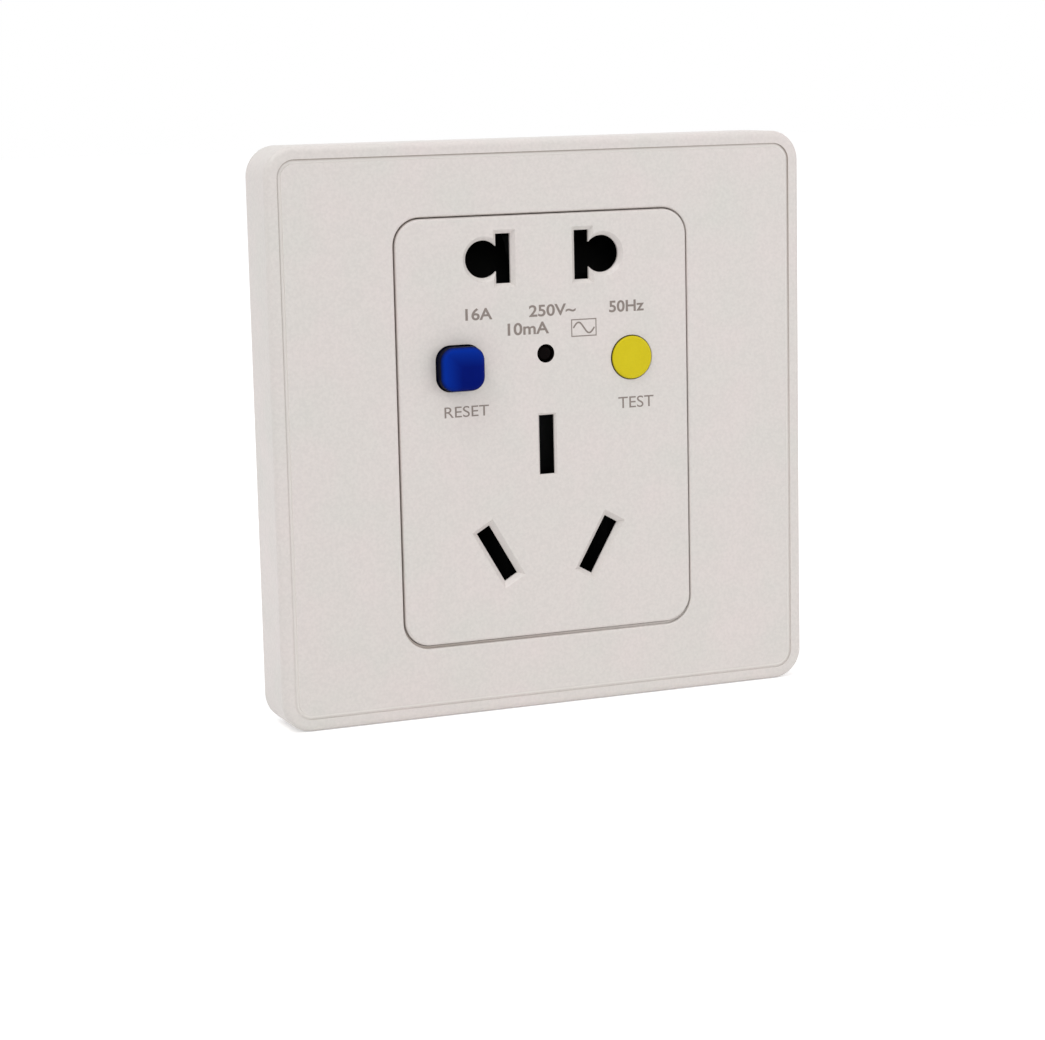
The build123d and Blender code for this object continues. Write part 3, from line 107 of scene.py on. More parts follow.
def ramp(tree, value, lowIn, highIn, highOut):
    # climbs from 0 to highOut while value goes from lowIn to highIn
    node = addNode(tree, "ShaderNodeMapRange", {"From Min": 0.0, "From Max": 1.0, "To Min": 0.0}, {"Value": value})
    for label, end in (("From Min", lowIn), ("From Max", highIn), ("To Max", highOut)):
        if isinstance(end, (int, float)):
            node.inputs[label].default_value = end
        else:
            tree.links.new(end, node.inputs[label])
    return node.outputs["Result"]


def spread(tree, value, low, high, lowIn=0.0, highIn=1.0):
    # lays the range from lowIn to highIn over the range from low to high
    node = addNode(tree, "ShaderNodeMapRange",
                   {"From Min": lowIn, "From Max": highIn, "To Min": low, "To Max": high}, {"Value": value})
    return node.outputs["Result"]


def noise(tree, place, size, detail):
    # even noise with grains of about this size in mm
    node = addNode(tree, "ShaderNodeTexNoise", {"Scale": 1 / (size * mm), "Detail": detail}, {"Vector": place})
    return node.outputs["Fac"]


def mixColour(tree, share, first, second):
    # from the first colour to the second as share goes from 0 to 1
    node = addNode(tree, "ShaderNodeMix", {"A": linearColour(first), "B": linearColour(second)},
                   {"Factor": share}, data_type="RGBA")
    return node.outputs["Result"]


def newMaterial(name, roughness, ior=1.5, metallic=0.0):
    material = bpy.data.materials.new(name)
    material.use_nodes = True
    tree = material.node_tree
    tree.nodes.clear()
    shader = addNode(tree, "ShaderNodeBsdfPrincipled", {"Roughness": roughness, "IOR": ior, "Metallic": metallic})
    addNode(tree, "ShaderNodeOutputMaterial", links={"Surface": shader.outputs["BSDF"]})
    return material, tree, shader


def copyMaterial(material, name):
    twin = material.copy()
    twin.name = name
    return twin


def shaderOf(material):
    return next(node for node in material.node_tree.nodes if node.type == "BSDF_PRINCIPLED")


def objectPoint(tree):
    # the point in the piece's own coordinates
    return addNode(tree, "ShaderNodeTexCoord").outputs["Object"]


def objectPlace(tree, axis):
    # the point's own coordinate along one axis
    return addNode(tree, "ShaderNodeSeparateXYZ", links={"Vector": objectPoint(tree)}).outputs[axis]


def roundReach(tree, firstAway, secondAway):
    # how far a point lies from a line, from its distances along two axes
    squares = [calc(tree, "POWER", away, 2.0) for away in (firstAway, secondAway)]
    return calc(tree, "SQRT", calc(tree, "ADD", *squares))


def paintOver(material, share, colour):
    # lays one more colour over the material's own, as far as share says
    tree = material.node_tree
    shader = shaderOf(material)
    own = shader.inputs["Base Color"].links[0].from_socket
    mix = addNode(tree, "ShaderNodeMix", {"B": linearColour(colour)}, {"Factor": share, "A": own}, data_type="RGBA")
    tree.links.new(mix.outputs["Result"], shader.inputs["Base Color"])


# What all moulded plastics share: noise detail, the part of the grain that shows, and how far the gloss strays
mouldLook = {"grainDetail": 3.0, "cloudDetail": 2.0, "grainLow": 0.35, "grainHigh": 0.65,
             "smoother": 0.04, "rougher": 0.06}


def mouldedPlastic(name, look):
    # eroded steel mould: a fine even grain, with the colour slightly clouded where the melt flowed
    material, tree, shader = newMaterial(name, look["roughness"], look["ior"])
    shader.inputs["Specular IOR Level"].default_value = look["gloss"]
    place = objectPoint(tree)
    grain = noise(tree, place, look["grainSize"], mouldLook["grainDetail"])
    cloud = noise(tree, place, look["cloudSize"], mouldLook["cloudDetail"])
    speck = spread(tree, grain, 1 - look["mottle"], 1 + look["mottle"], mouldLook["grainLow"], mouldLook["grainHigh"])
    tint = addNode(tree, "ShaderNodeVectorMath",
                   links={0: mixColour(tree, cloud, look["colour"], look["cloudColour"]), 1: speck},
                   operation="MULTIPLY")
    tree.links.new(tint.outputs["Vector"], shader.inputs["Base Color"])
    bump = addNode(tree, "ShaderNodeBump", {"Strength": 1.0, "Distance": look["grainDepth"] * mm}, {"Height": grain})
    tree.links.new(bump.outputs["Normal"], shader.inputs["Normal"])
    sheen = spread(tree, cloud, look["roughness"] - mouldLook["smoother"], look["roughness"] + mouldLook["rougher"])
    tree.links.new(sheen, shader.inputs["Roughness"])
    return material


# What all strip, wire and bar share: lines much longer than wide, their depth, and how far the gloss strays
drawnLook = {"lineLength": 30, "lineDetail": 3.0, "lineDepth": 0.004, "lineStrength": 0.6, "stainDetail": 4.0,
             "smoother": 0.08, "rougher": 0.12}


def rolledMetal(name, look):
    # fine drawn lines along one direction, darker where handling has dulled it
    material, tree, shader = newMaterial(name, look["roughness"], metallic=1.0)
    place = objectPoint(tree)
    stretch = [1 / (look["lineWidth"] * mm)] * 3
    stretch["xyz".index(look["along"])] /= drawnLook["lineLength"]
    lined = addNode(tree, "ShaderNodeMapping", {"Scale": stretch}, {"Vector": place})
    lines = addNode(tree, "ShaderNodeTexNoise", {"Scale": 1.0, "Detail": drawnLook["lineDetail"]},
                    {"Vector": lined.outputs["Vector"]}).outputs["Fac"]
    stain = noise(tree, place, look["stainSize"], drawnLook["stainDetail"])
    tree.links.new(mixColour(tree, stain, look["colour"], look["dull"]), shader.inputs["Base Color"])
    rough = spread(tree, lines, look["roughness"] - drawnLook["smoother"], look["roughness"] + drawnLook["rougher"])
    tree.links.new(rough, shader.inputs["Roughness"])
    bump = addNode(tree, "ShaderNodeBump",
                   {"Strength": drawnLook["lineStrength"], "Distance": drawnLook["lineDepth"] * mm},
                   {"Height": lines})
    tree.links.new(bump.outputs["Normal"], shader.inputs["Normal"])
    return material


# Frame and panel: white flame-retardant polycarbonate from an eroded mould, satin and slightly warm
whitePolycarbonate = mouldedPlastic("whitePolycarbonate", {
    "colour": "#e3d7d5", "cloudColour": "#d8d7d1", "gloss": 0.5, "roughness": 0.42, "ior": 1.585,
    "grainSize": 0.45, "grainDepth": 0.007, "cloudSize": 9.0, "mottle": 0.032,
})
# Cover frame: the same plastic, with painted shade and a painted highlight in its groove, and painted shade on the
# narrow step round the module
framePolycarbonate = copyMaterial(whitePolycarbonate, "shadedPolycarbonate")
shadeTree = framePolycarbonate.node_tree
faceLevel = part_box("cover_frame")[0].y


def shadeSlantShare(slopeX, slopeZ, litEnd, shadedEnd, most):
    # the painted shade is strongest toward the upper left and thins out along a slant across the face
    slant = calc(shadeTree, "ADD", calc(shadeTree, "MULTIPLY", objectPlace(shadeTree, "X"), slopeX),
                 calc(shadeTree, "MULTIPLY", objectPlace(shadeTree, "Z"), slopeZ))
    return ramp(shadeTree, slant, litEnd * mm, shadedEnd * mm, most)


# painted shade on the step down in the gap round the module, starting a little behind the face
gapShadeLook = {"colour": "#b5a89f", "reachX": 25.5, "reachZ": 34.0, "from": 0.28, "to": 0.55,
            "shadeSlant": {"slopeX": -1.0, "slopeZ": 0.5, "litEnd": -40.0, "shadedEnd": 10.0, "most": 0.85}}
gapShadeShare = ramp(shadeTree, objectPlace(shadeTree, "Y"), faceLevel + gapShadeLook["from"] * mm,
                 faceLevel + gapShadeLook["to"] * mm, 1.0)
gapShadeShare = calc(shadeTree, "MULTIPLY", gapShadeShare, shadeSlantShare(**gapShadeLook["shadeSlant"]))
for axis, reach in (("X", gapShadeLook["reachX"]), ("Z", gapShadeLook["reachZ"])):
    away = calc(shadeTree, "ABSOLUTE", objectPlace(shadeTree, axis))
    gapShadeShare = calc(shadeTree, "MULTIPLY", gapShadeShare, calc(shadeTree, "LESS_THAN", away, reach * mm))
paintOver(framePolycarbonate, gapShadeShare, gapShadeLook["colour"])
# painted highlight along the groove's inner side, and painted shade along its outer wall
grooveLook = {"cornerFrom": 38.5, "depth": 0.02, "bands": (
    {"colour": "#f1ede9", "inner": 1.9, "outer": 2.35, "soft": 0.15, "shadeSlant": None},
    {"colour": "#a3988f", "inner": 2.5, "outer": 2.85, "soft": 0.1,
     "shadeSlant": {"slopeX": -0.35, "slopeZ": 1.0, "litEnd": -20.0, "shadedEnd": 41.0, "most": 1.0}},
)}
pastCorner = [calc(shadeTree, "MAXIMUM",
                   calc(shadeTree, "SUBTRACT", calc(shadeTree, "ABSOLUTE", objectPlace(shadeTree, axis)),
                        grooveLook["cornerFrom"] * mm), 0.0)
              for axis in "XZ"]
ringReach = roundReach(shadeTree, *pastCorner)
sunk = calc(shadeTree, "GREATER_THAN", objectPlace(shadeTree, "Y"), faceLevel + grooveLook["depth"] * mm)
for look in grooveLook["bands"]:
    edges = [ramp(shadeTree, ringReach, (look[end] - look["soft"]) * mm, (look[end] + look["soft"]) * mm, 1.0)
             for end in ("inner", "outer")]
    band = calc(shadeTree, "MULTIPLY", sunk, calc(shadeTree, "SUBTRACT", *edges))
    if look["shadeSlant"]:
        band = calc(shadeTree, "MULTIPLY", band, shadeSlantShare(**look["shadeSlant"]))
    paintOver(framePolycarbonate, band, look["colour"])
# Reset cap: dyed ABS, smooth moulded, so the edges catch a pale line
blueAbs = mouldedPlastic("blueAbs", {
    "colour": "#001674", "cloudColour": "#001268", "gloss": 0.03, "roughness": 0.45, "ior": 1.54,
    "grainSize": 0.35, "grainDepth": 0.003, "cloudSize": 3.0, "mottle": 0.02,
})
# painted highlight: the blue is lighter toward the upper left edge, where the light falls
capHighlightLook = {"rim": "#0534a4", "rimFrom": 0.3, "rimTo": 3.9}
capLow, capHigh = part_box("reset_button")
capTree = blueAbs.node_tree
capLeft = calc(capTree, "SUBTRACT", (capLow.x + capHigh.x) / 2, objectPlace(capTree, "X"))
capUp = calc(capTree, "SUBTRACT", objectPlace(capTree, "Z"), (capLow.z + capHigh.z) / 2)
paintOver(blueAbs, ramp(capTree, calc(capTree, "MAXIMUM", capLeft, capUp), capHighlightLook["rimFrom"] * mm,
                        capHighlightLook["rimTo"] * mm, 1.0), capHighlightLook["rim"])
# Test cap: dyed ABS, smooth moulded, slightly greenish yellow
yellowAbs = mouldedPlastic("yellowAbs", {
    "colour": "#dccb1c", "cloudColour": "#d4c214", "gloss": 0.12, "roughness": 0.34, "ior": 1.54,
    "grainSize": 0.35, "grainDepth": 0.003, "cloudSize": 3.0, "mottle": 0.015,
})
# painted shade: the sides of both caps are painted dark, down in their gaps
capSideShades = (
    {"material": blueAbs, "node": "reset_button", "colour": "#02041a", "from": 0.15, "to": 0.85},
    {"material": yellowAbs, "node": "test_button", "colour": "#3c3004", "from": 0.08, "to": 0.34},
)
for look in capSideShades:
    tree = look["material"].node_tree
    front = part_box(look["node"])[0].y
    sideShadeShare = ramp(tree, objectPlace(tree, "Y"), front + look["from"] * mm, front + look["to"] * mm, 1.0)
    paintOver(look["material"], sideShadeShare, look["colour"])
# painted shade: the wall of the indicator hole in the panel is painted dark too
holeShadeLook = {"colour": "#100e0d", "radius": 1.46, "depth": 0.1}
holeTree = whitePolycarbonate.node_tree
lensLow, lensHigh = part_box("indicator_led")
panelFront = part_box("face_panel")[0].y
fromHole = [calc(holeTree, "SUBTRACT", objectPlace(holeTree, axis), middle)
            for axis, middle in (("X", (lensLow.x + lensHigh.x) / 2), ("Z", (lensLow.z + lensHigh.z) / 2))]
inHole = calc(holeTree, "LESS_THAN", roundReach(holeTree, *fromHole), holeShadeLook["radius"] * mm)
holeDepth = ramp(holeTree, objectPlace(holeTree, "Y"), panelFront, panelFront + holeShadeLook["depth"] * mm, 1.0)
paintOver(whitePolycarbonate, calc(holeTree, "MULTIPLY", inHole, holeDepth), holeShadeLook["colour"])
# Shutters: self-lubricating acetal, dark and waxy
blackAcetal = mouldedPlastic("blackAcetal", {
    "colour": "#040404", "cloudColour": "#060606", "gloss": 0.03, "roughness": 0.6, "ior": 1.48,
    "grainSize": 0.3, "grainDepth": 0.003, "cloudSize": 4.0, "mottle": 0.05,
})
# Inner frame parts: black nylon with glass fibre, dull with faint streaks
blackNylon = mouldedPlastic("blackNylon", {
    "colour": "#17181a", "cloudColour": "#1f2022", "gloss": 0.5, "roughness": 0.55, "ior": 1.53,
    "grainSize": 0.4, "grainDepth": 0.008, "cloudSize": 3.0, "mottle": 0.08,
})
# Mounting plate and rear housing: grey glass-filled nylon, matt, with fibres that show as clouds
greyNylon = mouldedPlastic("greyNylon", {
    "colour": "#4b4d50", "cloudColour": "#56585b", "gloss": 0.5, "roughness": 0.6, "ior": 1.53,
    "grainSize": 0.4, "grainDepth": 0.012, "cloudSize": 5.0, "mottle": 0.05,
})
# Capacitor box: potted polyester case, ochre
polyesterCase = mouldedPlastic("polyesterCase", {
    "colour": "#b38f2c", "cloudColour": "#a98524", "gloss": 0.5, "roughness": 0.4, "ior": 1.55,
    "grainSize": 0.4, "grainDepth": 0.006, "cloudSize": 3.0, "mottle": 0.03,
})
# Varistor: dipped epoxy, thick and glossy, so it has a soft orange peel
dippedEpoxy = mouldedPlastic("dippedEpoxy", {
    "colour": "#1d3f8f", "cloudColour": "#19377e", "gloss": 0.5, "roughness": 0.22, "ior": 1.56,
    "grainSize": 1.2, "grainDepth": 0.03, "cloudSize": 2.0, "mottle": 0.02,
})
# Chips and diodes: moulded epoxy with silica, matt black
mouldedEpoxy = mouldedPlastic("mouldedEpoxy", {
    "colour": "#141414", "cloudColour": "#1a1a1a", "gloss": 0.5, "roughness": 0.58, "ior": 1.56,
    "grainSize": 0.25, "grainDepth": 0.006, "cloudSize": 2.0, "mottle": 0.08,
})
# Electrolytic capacitor: shrunk vinyl sleeve, dark and smooth
vinylSleeve = mouldedPlastic("vinylSleeve", {
    "colour": "#11131c", "cloudColour": "#161927", "gloss": 0.5, "roughness": 0.3, "ior": 1.54,
    "grainSize": 0.8, "grainDepth": 0.006, "cloudSize": 4.0, "mottle": 0.03,
})
# Resistors: sand-coloured lacquer over ceramic
lacquer = mouldedPlastic("resistorLacquer", {
    "colour": "#b59a6a", "cloudColour": "#ab8f60", "gloss": 0.5, "roughness": 0.35, "ior": 1.5,
    "grainSize": 0.5, "grainDepth": 0.01, "cloudSize": 1.5, "mottle": 0.03,
})
# Inner wires: extruded vinyl insulation, soft gloss
redVinyl = mouldedPlastic("redVinyl", {
    "colour": "#8f1512", "cloudColour": "#83110f", "gloss": 0.5, "roughness": 0.38, "ior": 1.54,
    "grainSize": 0.6, "grainDepth": 0.005, "cloudSize": 3.0, "mottle": 0.02,
})
blueVinyl = mouldedPlastic("blueVinyl", {
    "colour": "#1a3f9c", "cloudColour": "#173888", "gloss": 0.5, "roughness": 0.38, "ior": 1.54,
    "grainSize": 0.6, "grainDepth": 0.005, "cloudSize": 3.0, "mottle": 0.02,
})
# Board: glass laminate under green solder mask, glossy over a faint weave
solderMask = mouldedPlastic("solderMask", {
    "colour": "#0f4a2a", "cloudColour": "#0c4024", "gloss": 0.5, "roughness": 0.28, "ior": 1.55,
    "grainSize": 0.6, "grainDepth": 0.006, "cloudSize": 2.0, "mottle": 0.06,
})
# Ring core: sintered ferrite, dull dark grey
ferrite = mouldedPlastic("ferrite", {
    "colour": "#2a2a2c", "cloudColour": "#333335", "gloss": 0.5, "roughness": 0.65, "ior": 1.6,
    "grainSize": 0.2, "grainDepth": 0.01, "cloudSize": 2.0, "mottle": 0.08,
})
# Indicator: dark red tinted epoxy lens, unlit
ledResin = mouldedPlastic("ledResin", {
    "colour": "#060202", "cloudColour": "#050101", "gloss": 0.03, "roughness": 0.3, "ior": 1.55,
    "grainSize": 1.0, "grainDepth": 0.001, "cloudSize": 2.0, "mottle": 0.02,
})
# Printed marks: pad-printed grey-brown ink, thin and matt
markInk = mouldedPlastic("padPrintInk", {
    "colour": "#877c76", "cloudColour": "#90857f", "gloss": 0.5, "roughness": 0.6, "ior": 1.5,
    "grainSize": 0.3, "grainDepth": 0.002, "cloudSize": 2.0, "mottle": 0.05,
})
# Contacts: half-hard brass strip, stamped, lines along the strip
brassStrip = rolledMetal("brassStrip", {
    "colour": "#d9b066", "dull": "#b98f49", "roughness": 0.3, "lineWidth": 0.08, "along": "z", "stainSize": 6.0,
})
# Terminals: tinned brass block, sawn from bar, paler than the strip
tinnedBrass = rolledMetal("tinnedBrass", {
    "colour": "#cfc39c", "dull": "#b3a67f", "roughness": 0.34, "lineWidth": 0.1, "along": "y", "stainSize": 4.0,
})
# Screws, yoke and pin: zinc-plated steel, bluish grey with a slight cloud
zincSteel = rolledMetal("zincSteel", {
    "colour": "#b9bdc2", "dull": "#94989d", "roughness": 0.32, "lineWidth": 0.08, "along": "y", "stainSize": 3.0,
})
# Springs: drawn stainless wire, bright, lines along the wire
springSteel = rolledMetal("springSteel", {
    "colour": "#a9acb0", "dull": "#8a8d92", "roughness": 0.26, "lineWidth": 0.05, "along": "y", "stainSize": 1.5,
})
# Windings: enamelled copper wire, orange-brown varnish gloss
enamelledCopper = rolledMetal("enamelledCopper", {
    "colour": "#c06a2c", "dull": "#9a4d1c", "roughness": 0.28, "lineWidth": 0.06, "along": "x", "stainSize": 2.0,
})

# Leads: 5 bands on the resistors, one cathode band on the diodes, and bare tinned wire past each body's ends
tinColour = "#c8c9cb"
diodeEpoxy = copyMaterial(mouldedEpoxy, "diodeEpoxy")
chipEpoxy = copyMaterial(mouldedEpoxy, "chipEpoxy")
leadLooks = (
    {"material": lacquer, "node": "resistors", "axis": "X", "lead": 0.98, "bands": (
        (-2.2, 0.55, "#6b3a1c"), (-1.1, 0.5, "#151515"), (-0.2, 0.5, "#151515"),
        (0.7, 0.5, "#b03a1e"), (2.1, 0.55, "#6b3a1c"),
    )},
    {"material": diodeEpoxy, "node": "diodes", "axis": "X", "lead": 0.98, "bands": ((1.35, 0.7, "#c9cbcf"),)},
    {"material": chipEpoxy, "node": "control_chip", "axis": "Z", "lead": 0.64, "bands": ()},
)
for look in leadLooks:
    tree = look["material"].node_tree
    low, high = (corner["XYZ".index(look["axis"])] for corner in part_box(look["node"]))
    fromMiddle = calc(tree, "SUBTRACT", objectPlace(tree, look["axis"]), (low + high) / 2)
    for place, width, colour in look["bands"]:
        away = calc(tree, "ABSOLUTE", calc(tree, "SUBTRACT", fromMiddle, place * mm))
        paintOver(look["material"], calc(tree, "LESS_THAN", away, width / 2 * mm), colour)
    bare = calc(tree, "GREATER_THAN", calc(tree, "ABSOLUTE", fromMiddle), (high - low) / 2 - look["lead"] * mm)
    paintOver(look["material"], bare, tinColour)
    tree.links.new(bare, shaderOf(look["material"]).inputs["Metallic"])

# Which nodes have which finish
finishes = {
    whitePolycarbonate: ("face_panel",),
    framePolycarbonate: ("cover_frame",),
    blueAbs: ("reset_button",),
    yellowAbs: ("test_button",),
    blackAcetal: ("two_pin_shutter", "three_pin_shutter"),
    blackNylon: ("contact_block", "contact_carrier", "coil_bobbin", "sensor_case"),
    greyNylon: ("mounting_plate", "rear_housing"),
    polyesterCase: ("film_capacitor",),
    dippedEpoxy: ("varistor",),
    mouldedEpoxy: ("thyristor",),
    chipEpoxy: ("control_chip",),
    diodeEpoxy: ("diodes",),
    vinylSleeve: ("electrolytic_capacitor",),
    lacquer: ("resistors",),
    redVinyl: ("line_conductor",),
    blueVinyl: ("neutral_conductor",),
    solderMask: ("circuit_board",),
    ferrite: ("sensor_core",),
    ledResin: ("indicator_led",),
    brassStrip: ("line_contact", "neutral_contact", "earth_contact", "line_input_contact",
                 "neutral_input_contact", "line_moving_contact", "neutral_moving_contact",
                 "test_spring", "test_post"),
    tinnedBrass: ("line_terminal", "neutral_terminal", "earth_terminal"),
    zincSteel: ("terminal_screws", "housing_screws", "reset_pin", "latch_plate", "coil_yoke", "trip_plunger"),
    springSteel: ("reset_spring", "carrier_spring", "latch_spring",
                  "two_pin_shutter_spring", "three_pin_shutter_spring"),
    enamelledCopper: ("coil_winding",),
}
for material, names in finishes.items():
    for name in names:
        nodes[name].data.materials.clear()
        nodes[name].data.materials.append(material)
print("finishes:", sum(len(names) for names in finishes.values()), "of", len(nodes), "nodes")


def addPiece(name, mesh, material, body):
    piece = bpy.data.objects.new(name, mesh)
    bpy.context.scene.collection.objects.link(piece)
    mesh.materials.clear()
    mesh.materials.append(material)
    if body:
        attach(piece, body)
    return piece


def newTree(name, inputs):
    # empty geometry tree with named inputs, and the sockets that give their values
    tree = bpy.data.node_groups.new(name, "GeometryNodeTree")
    tree.interface.new_socket("Geometry", in_out="OUTPUT", socket_type="NodeSocketGeometry")
    for label, kind in inputs:
        tree.interface.new_socket(label, in_out="INPUT", socket_type="NodeSocket" + kind)
    return tree, addNode(tree, "NodeGroupInput").outputs


def endTree(tree, given, geometry):
    # every tree ends in plain smooth mesh with its material
    real = addNode(tree, "GeometryNodeRealizeInstances", links={"Geometry": geometry})
    smooth = addNode(tree, "GeometryNodeSetShadeSmooth", links={"Geometry": real.outputs["Geometry"]})
    finish = addNode(tree, "GeometryNodeSetMaterial",
                     links={"Geometry": smooth.outputs["Geometry"], "Material": given["Material"]})
    addNode(tree, "NodeGroupOutput", links={"Geometry": finish.outputs["Geometry"]})


def builtMesh(tree, sizes):
    # runs the tree once with these sizes and keeps the plain mesh, faces outwards
    holder = bpy.data.objects.new(tree.name, bpy.data.meshes.new(tree.name))
    bpy.context.scene.collection.objects.link(holder)
    step = holder.modifiers.new(tree.name, "NODES")
    step.node_group = tree
    for item in tree.interface.items_tree:
        if item.item_type == "SOCKET" and item.in_out == "INPUT":
            step[item.identifier] = sizes[item.name]
    view = bpy.context.evaluated_depsgraph_get()
    mesh = bpy.data.meshes.new_from_object(holder.evaluated_get(view))
    holder.modifiers.remove(step)
    bpy.data.objects.remove(holder)
    shape = bmesh.new()
    shape.from_mesh(mesh)
    if shape.calc_volume(signed=True) < 0:
        bmesh.ops.reverse_faces(shape, faces=shape.faces[:])
    shape.to_mesh(mesh)
    shape.free()
    return mesh


# Wound wire along Z from 0: live turns between closed ends, as on ground compression springs
wireLook = {"closedPitch": 1.04, "sides": 10, "stepsPerTurn": 24}
woundWire, given = newTree("woundWire", (("Radius", "Float"), ("Length", "Float"), ("Wire", "Float"),
                                         ("Turns", "Float"), ("Closed Turns", "Float"), ("Steps", "Int"),
                                         ("Material", "Material")))
along = addNode(woundWire, "GeometryNodeSplineParameter").outputs["Factor"]
angle = calc(woundWire, "MULTIPLY", calc(woundWire, "MULTIPLY", along, given["Turns"]), 2 * math.pi)
closedShare = calc(woundWire, "DIVIDE", given["Closed Turns"], given["Turns"])
openShare = calc(woundWire, "SUBTRACT", 1.0, closedShare)
closedRise = calc(woundWire, "MULTIPLY", calc(woundWire, "MULTIPLY", given["Closed Turns"], given["Wire"]),
                  wireLook["closedPitch"])
openRise = calc(woundWire, "SUBTRACT", calc(woundWire, "SUBTRACT", given["Length"], given["Wire"]),
                calc(woundWire, "MULTIPLY", closedRise, 2.0))
rise = calc(woundWire, "MULTIPLY", given["Wire"], 0.5)
for part in (ramp(woundWire, along, 0.0, closedShare, closedRise),
             ramp(woundWire, along, closedShare, openShare, openRise),
             ramp(woundWire, along, openShare, 1.0, closedRise)):
    rise = calc(woundWire, "ADD", rise, part)
spot = addNode(woundWire, "ShaderNodeCombineXYZ", links={
    "X": calc(woundWire, "MULTIPLY", calc(woundWire, "COSINE", angle), given["Radius"]),
    "Y": calc(woundWire, "MULTIPLY", calc(woundWire, "SINE", angle), given["Radius"]),
    "Z": rise,
})
core = addNode(woundWire, "GeometryNodeCurvePrimitiveLine", {"End": (0, 0, 1)})
core = addNode(woundWire, "GeometryNodeResampleCurve",
               links={"Curve": core.outputs["Curve"], "Count": given["Steps"]})
core = addNode(woundWire, "GeometryNodeSetPosition",
               links={"Geometry": core.outputs["Curve"], "Position": spot.outputs["Vector"]})
wireRound = addNode(woundWire, "GeometryNodeCurvePrimitiveCircle", {"Resolution": wireLook["sides"]},
                    {"Radius": calc(woundWire, "MULTIPLY", given["Wire"], 0.5)})
tube = addNode(woundWire, "GeometryNodeCurveToMesh", {"Fill Caps": True},
               {"Curve": core.outputs["Geometry"], "Profile Curve": wireRound.outputs["Curve"]})
endTree(woundWire, given, tube.outputs["Mesh"])


def woundPiece(look, material):
    # winds the wire round the node's own middle, from its low end to its high end along the axis
    axis = look["axis"]
    low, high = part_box(look["node"])
    middle = (low + high) / 2
    mesh = builtMesh(woundWire, {
        "Radius": look["radius"] * mm, "Length": high[axis] - low[axis],
        "Wire": look["wire"] * mm, "Turns": look["turns"], "Closed Turns": look["closed"],
        "Steps": int(look["turns"] * wireLook["stepsPerTurn"]), "Material": material,
    })
    start = Vector(middle)
    start[axis] = low[axis]
    direction = Vector((0, 0, 0))
    direction[axis] = 1
    mesh.transform(Matrix.Translation(start) @ direction.to_track_quat("Z", "Y").to_matrix().to_4x4())
    return addPiece(look["name"], mesh, material, look["body"])


# Springs: round wire with closed ends
springLooks = (
    {"name": "resetSpringWire", "node": "reset_spring", "axis": 1, "radius": 2.05, "wire": 0.36,
     "turns": 7.0, "closed": 1.0, "body": "socket", "joint": "reset_button_slide", "end": 1, "travel": 2.4},
    {"name": "carrierSpringWire", "node": "carrier_spring", "axis": 1, "radius": 2.6, "wire": 0.35,
     "turns": 3.5, "closed": 0.75, "body": "socket", "joint": None},
    {"name": "latchSpringWire", "node": "latch_spring", "axis": 0, "radius": 0.55, "wire": 0.22,
     "turns": 8.0, "closed": 1.0, "body": "contact_carrier", "joint": "latch_slide", "end": -1, "travel": 1.8},
    {"name": "twoPinShutterSpringWire", "node": "two_pin_shutter_spring", "axis": 2, "radius": 1.4, "wire": 0.35,
     "turns": 9.0, "closed": 1.0, "body": "socket", "joint": "two_pin_shutter_slide", "end": -1, "travel": 7.9},
    {"name": "threePinShutterSpringWire", "node": "three_pin_shutter_spring", "axis": 0, "radius": 0.9, "wire": 0.3,
     "turns": 14.0, "closed": 1.0, "body": "socket", "joint": "three_pin_shutter_slide", "end": 1, "travel": 6.8},
)
for look in springLooks:
    low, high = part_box(look["node"])
    wound = woundPiece({**look, "slot": "spring_steel"}, springSteel)
    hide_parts(look["node"])
    if look["joint"]:
        length = high[look["axis"]] - low[look["axis"]]
        anchor = (low + high) / 2
        anchor[look["axis"]] += look["end"] * length / 2
        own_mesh(wound)
print("springs:", len(springLooks))

# Test leaf: the same bent strip, cut into short lengths
leafLook = {"slices": 20, "footRun": 1.0, "stemHalf": 1.2, "merge": 0.0001}
leafLow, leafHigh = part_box("test_spring")
strip = bmesh.new()
strip.from_mesh(nodes["test_spring"].data)
bmesh.ops.remove_doubles(strip, verts=strip.verts[:], dist=leafLook["merge"] * mm)
for i in range(1, leafLook["slices"]):
    bmesh.ops.bisect_plane(strip, geom=strip.verts[:] + strip.edges[:] + strip.faces[:],
                           plane_co=(0, 0, leafLow.z + (leafHigh.z - leafLow.z) * i / leafLook["slices"]),
                           plane_no=(0, 0, 1))
leafMesh = bpy.data.meshes.new("testLeaf")
strip.to_mesh(leafMesh)
strip.free()
testLeaf = addPiece("testLeaf", leafMesh, brassStrip, None)
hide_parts("test_spring")
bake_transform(testLeaf)
print("test leaf cut into", leafLook["slices"], "lengths")

# Trip coil: the top layer of enamelled wire, half sunk into the winding under it
coilLook = {"name": "coilTopLayer", "node": "coil_winding", "axis": 0, "radius": 3.55, "wire": 0.27,
            "turns": 23.0, "closed": 0.5, "body": "socket", "slot": "copper_winding"}
woundPiece(coilLook, enamelledCopper)
print("trip coil wound")

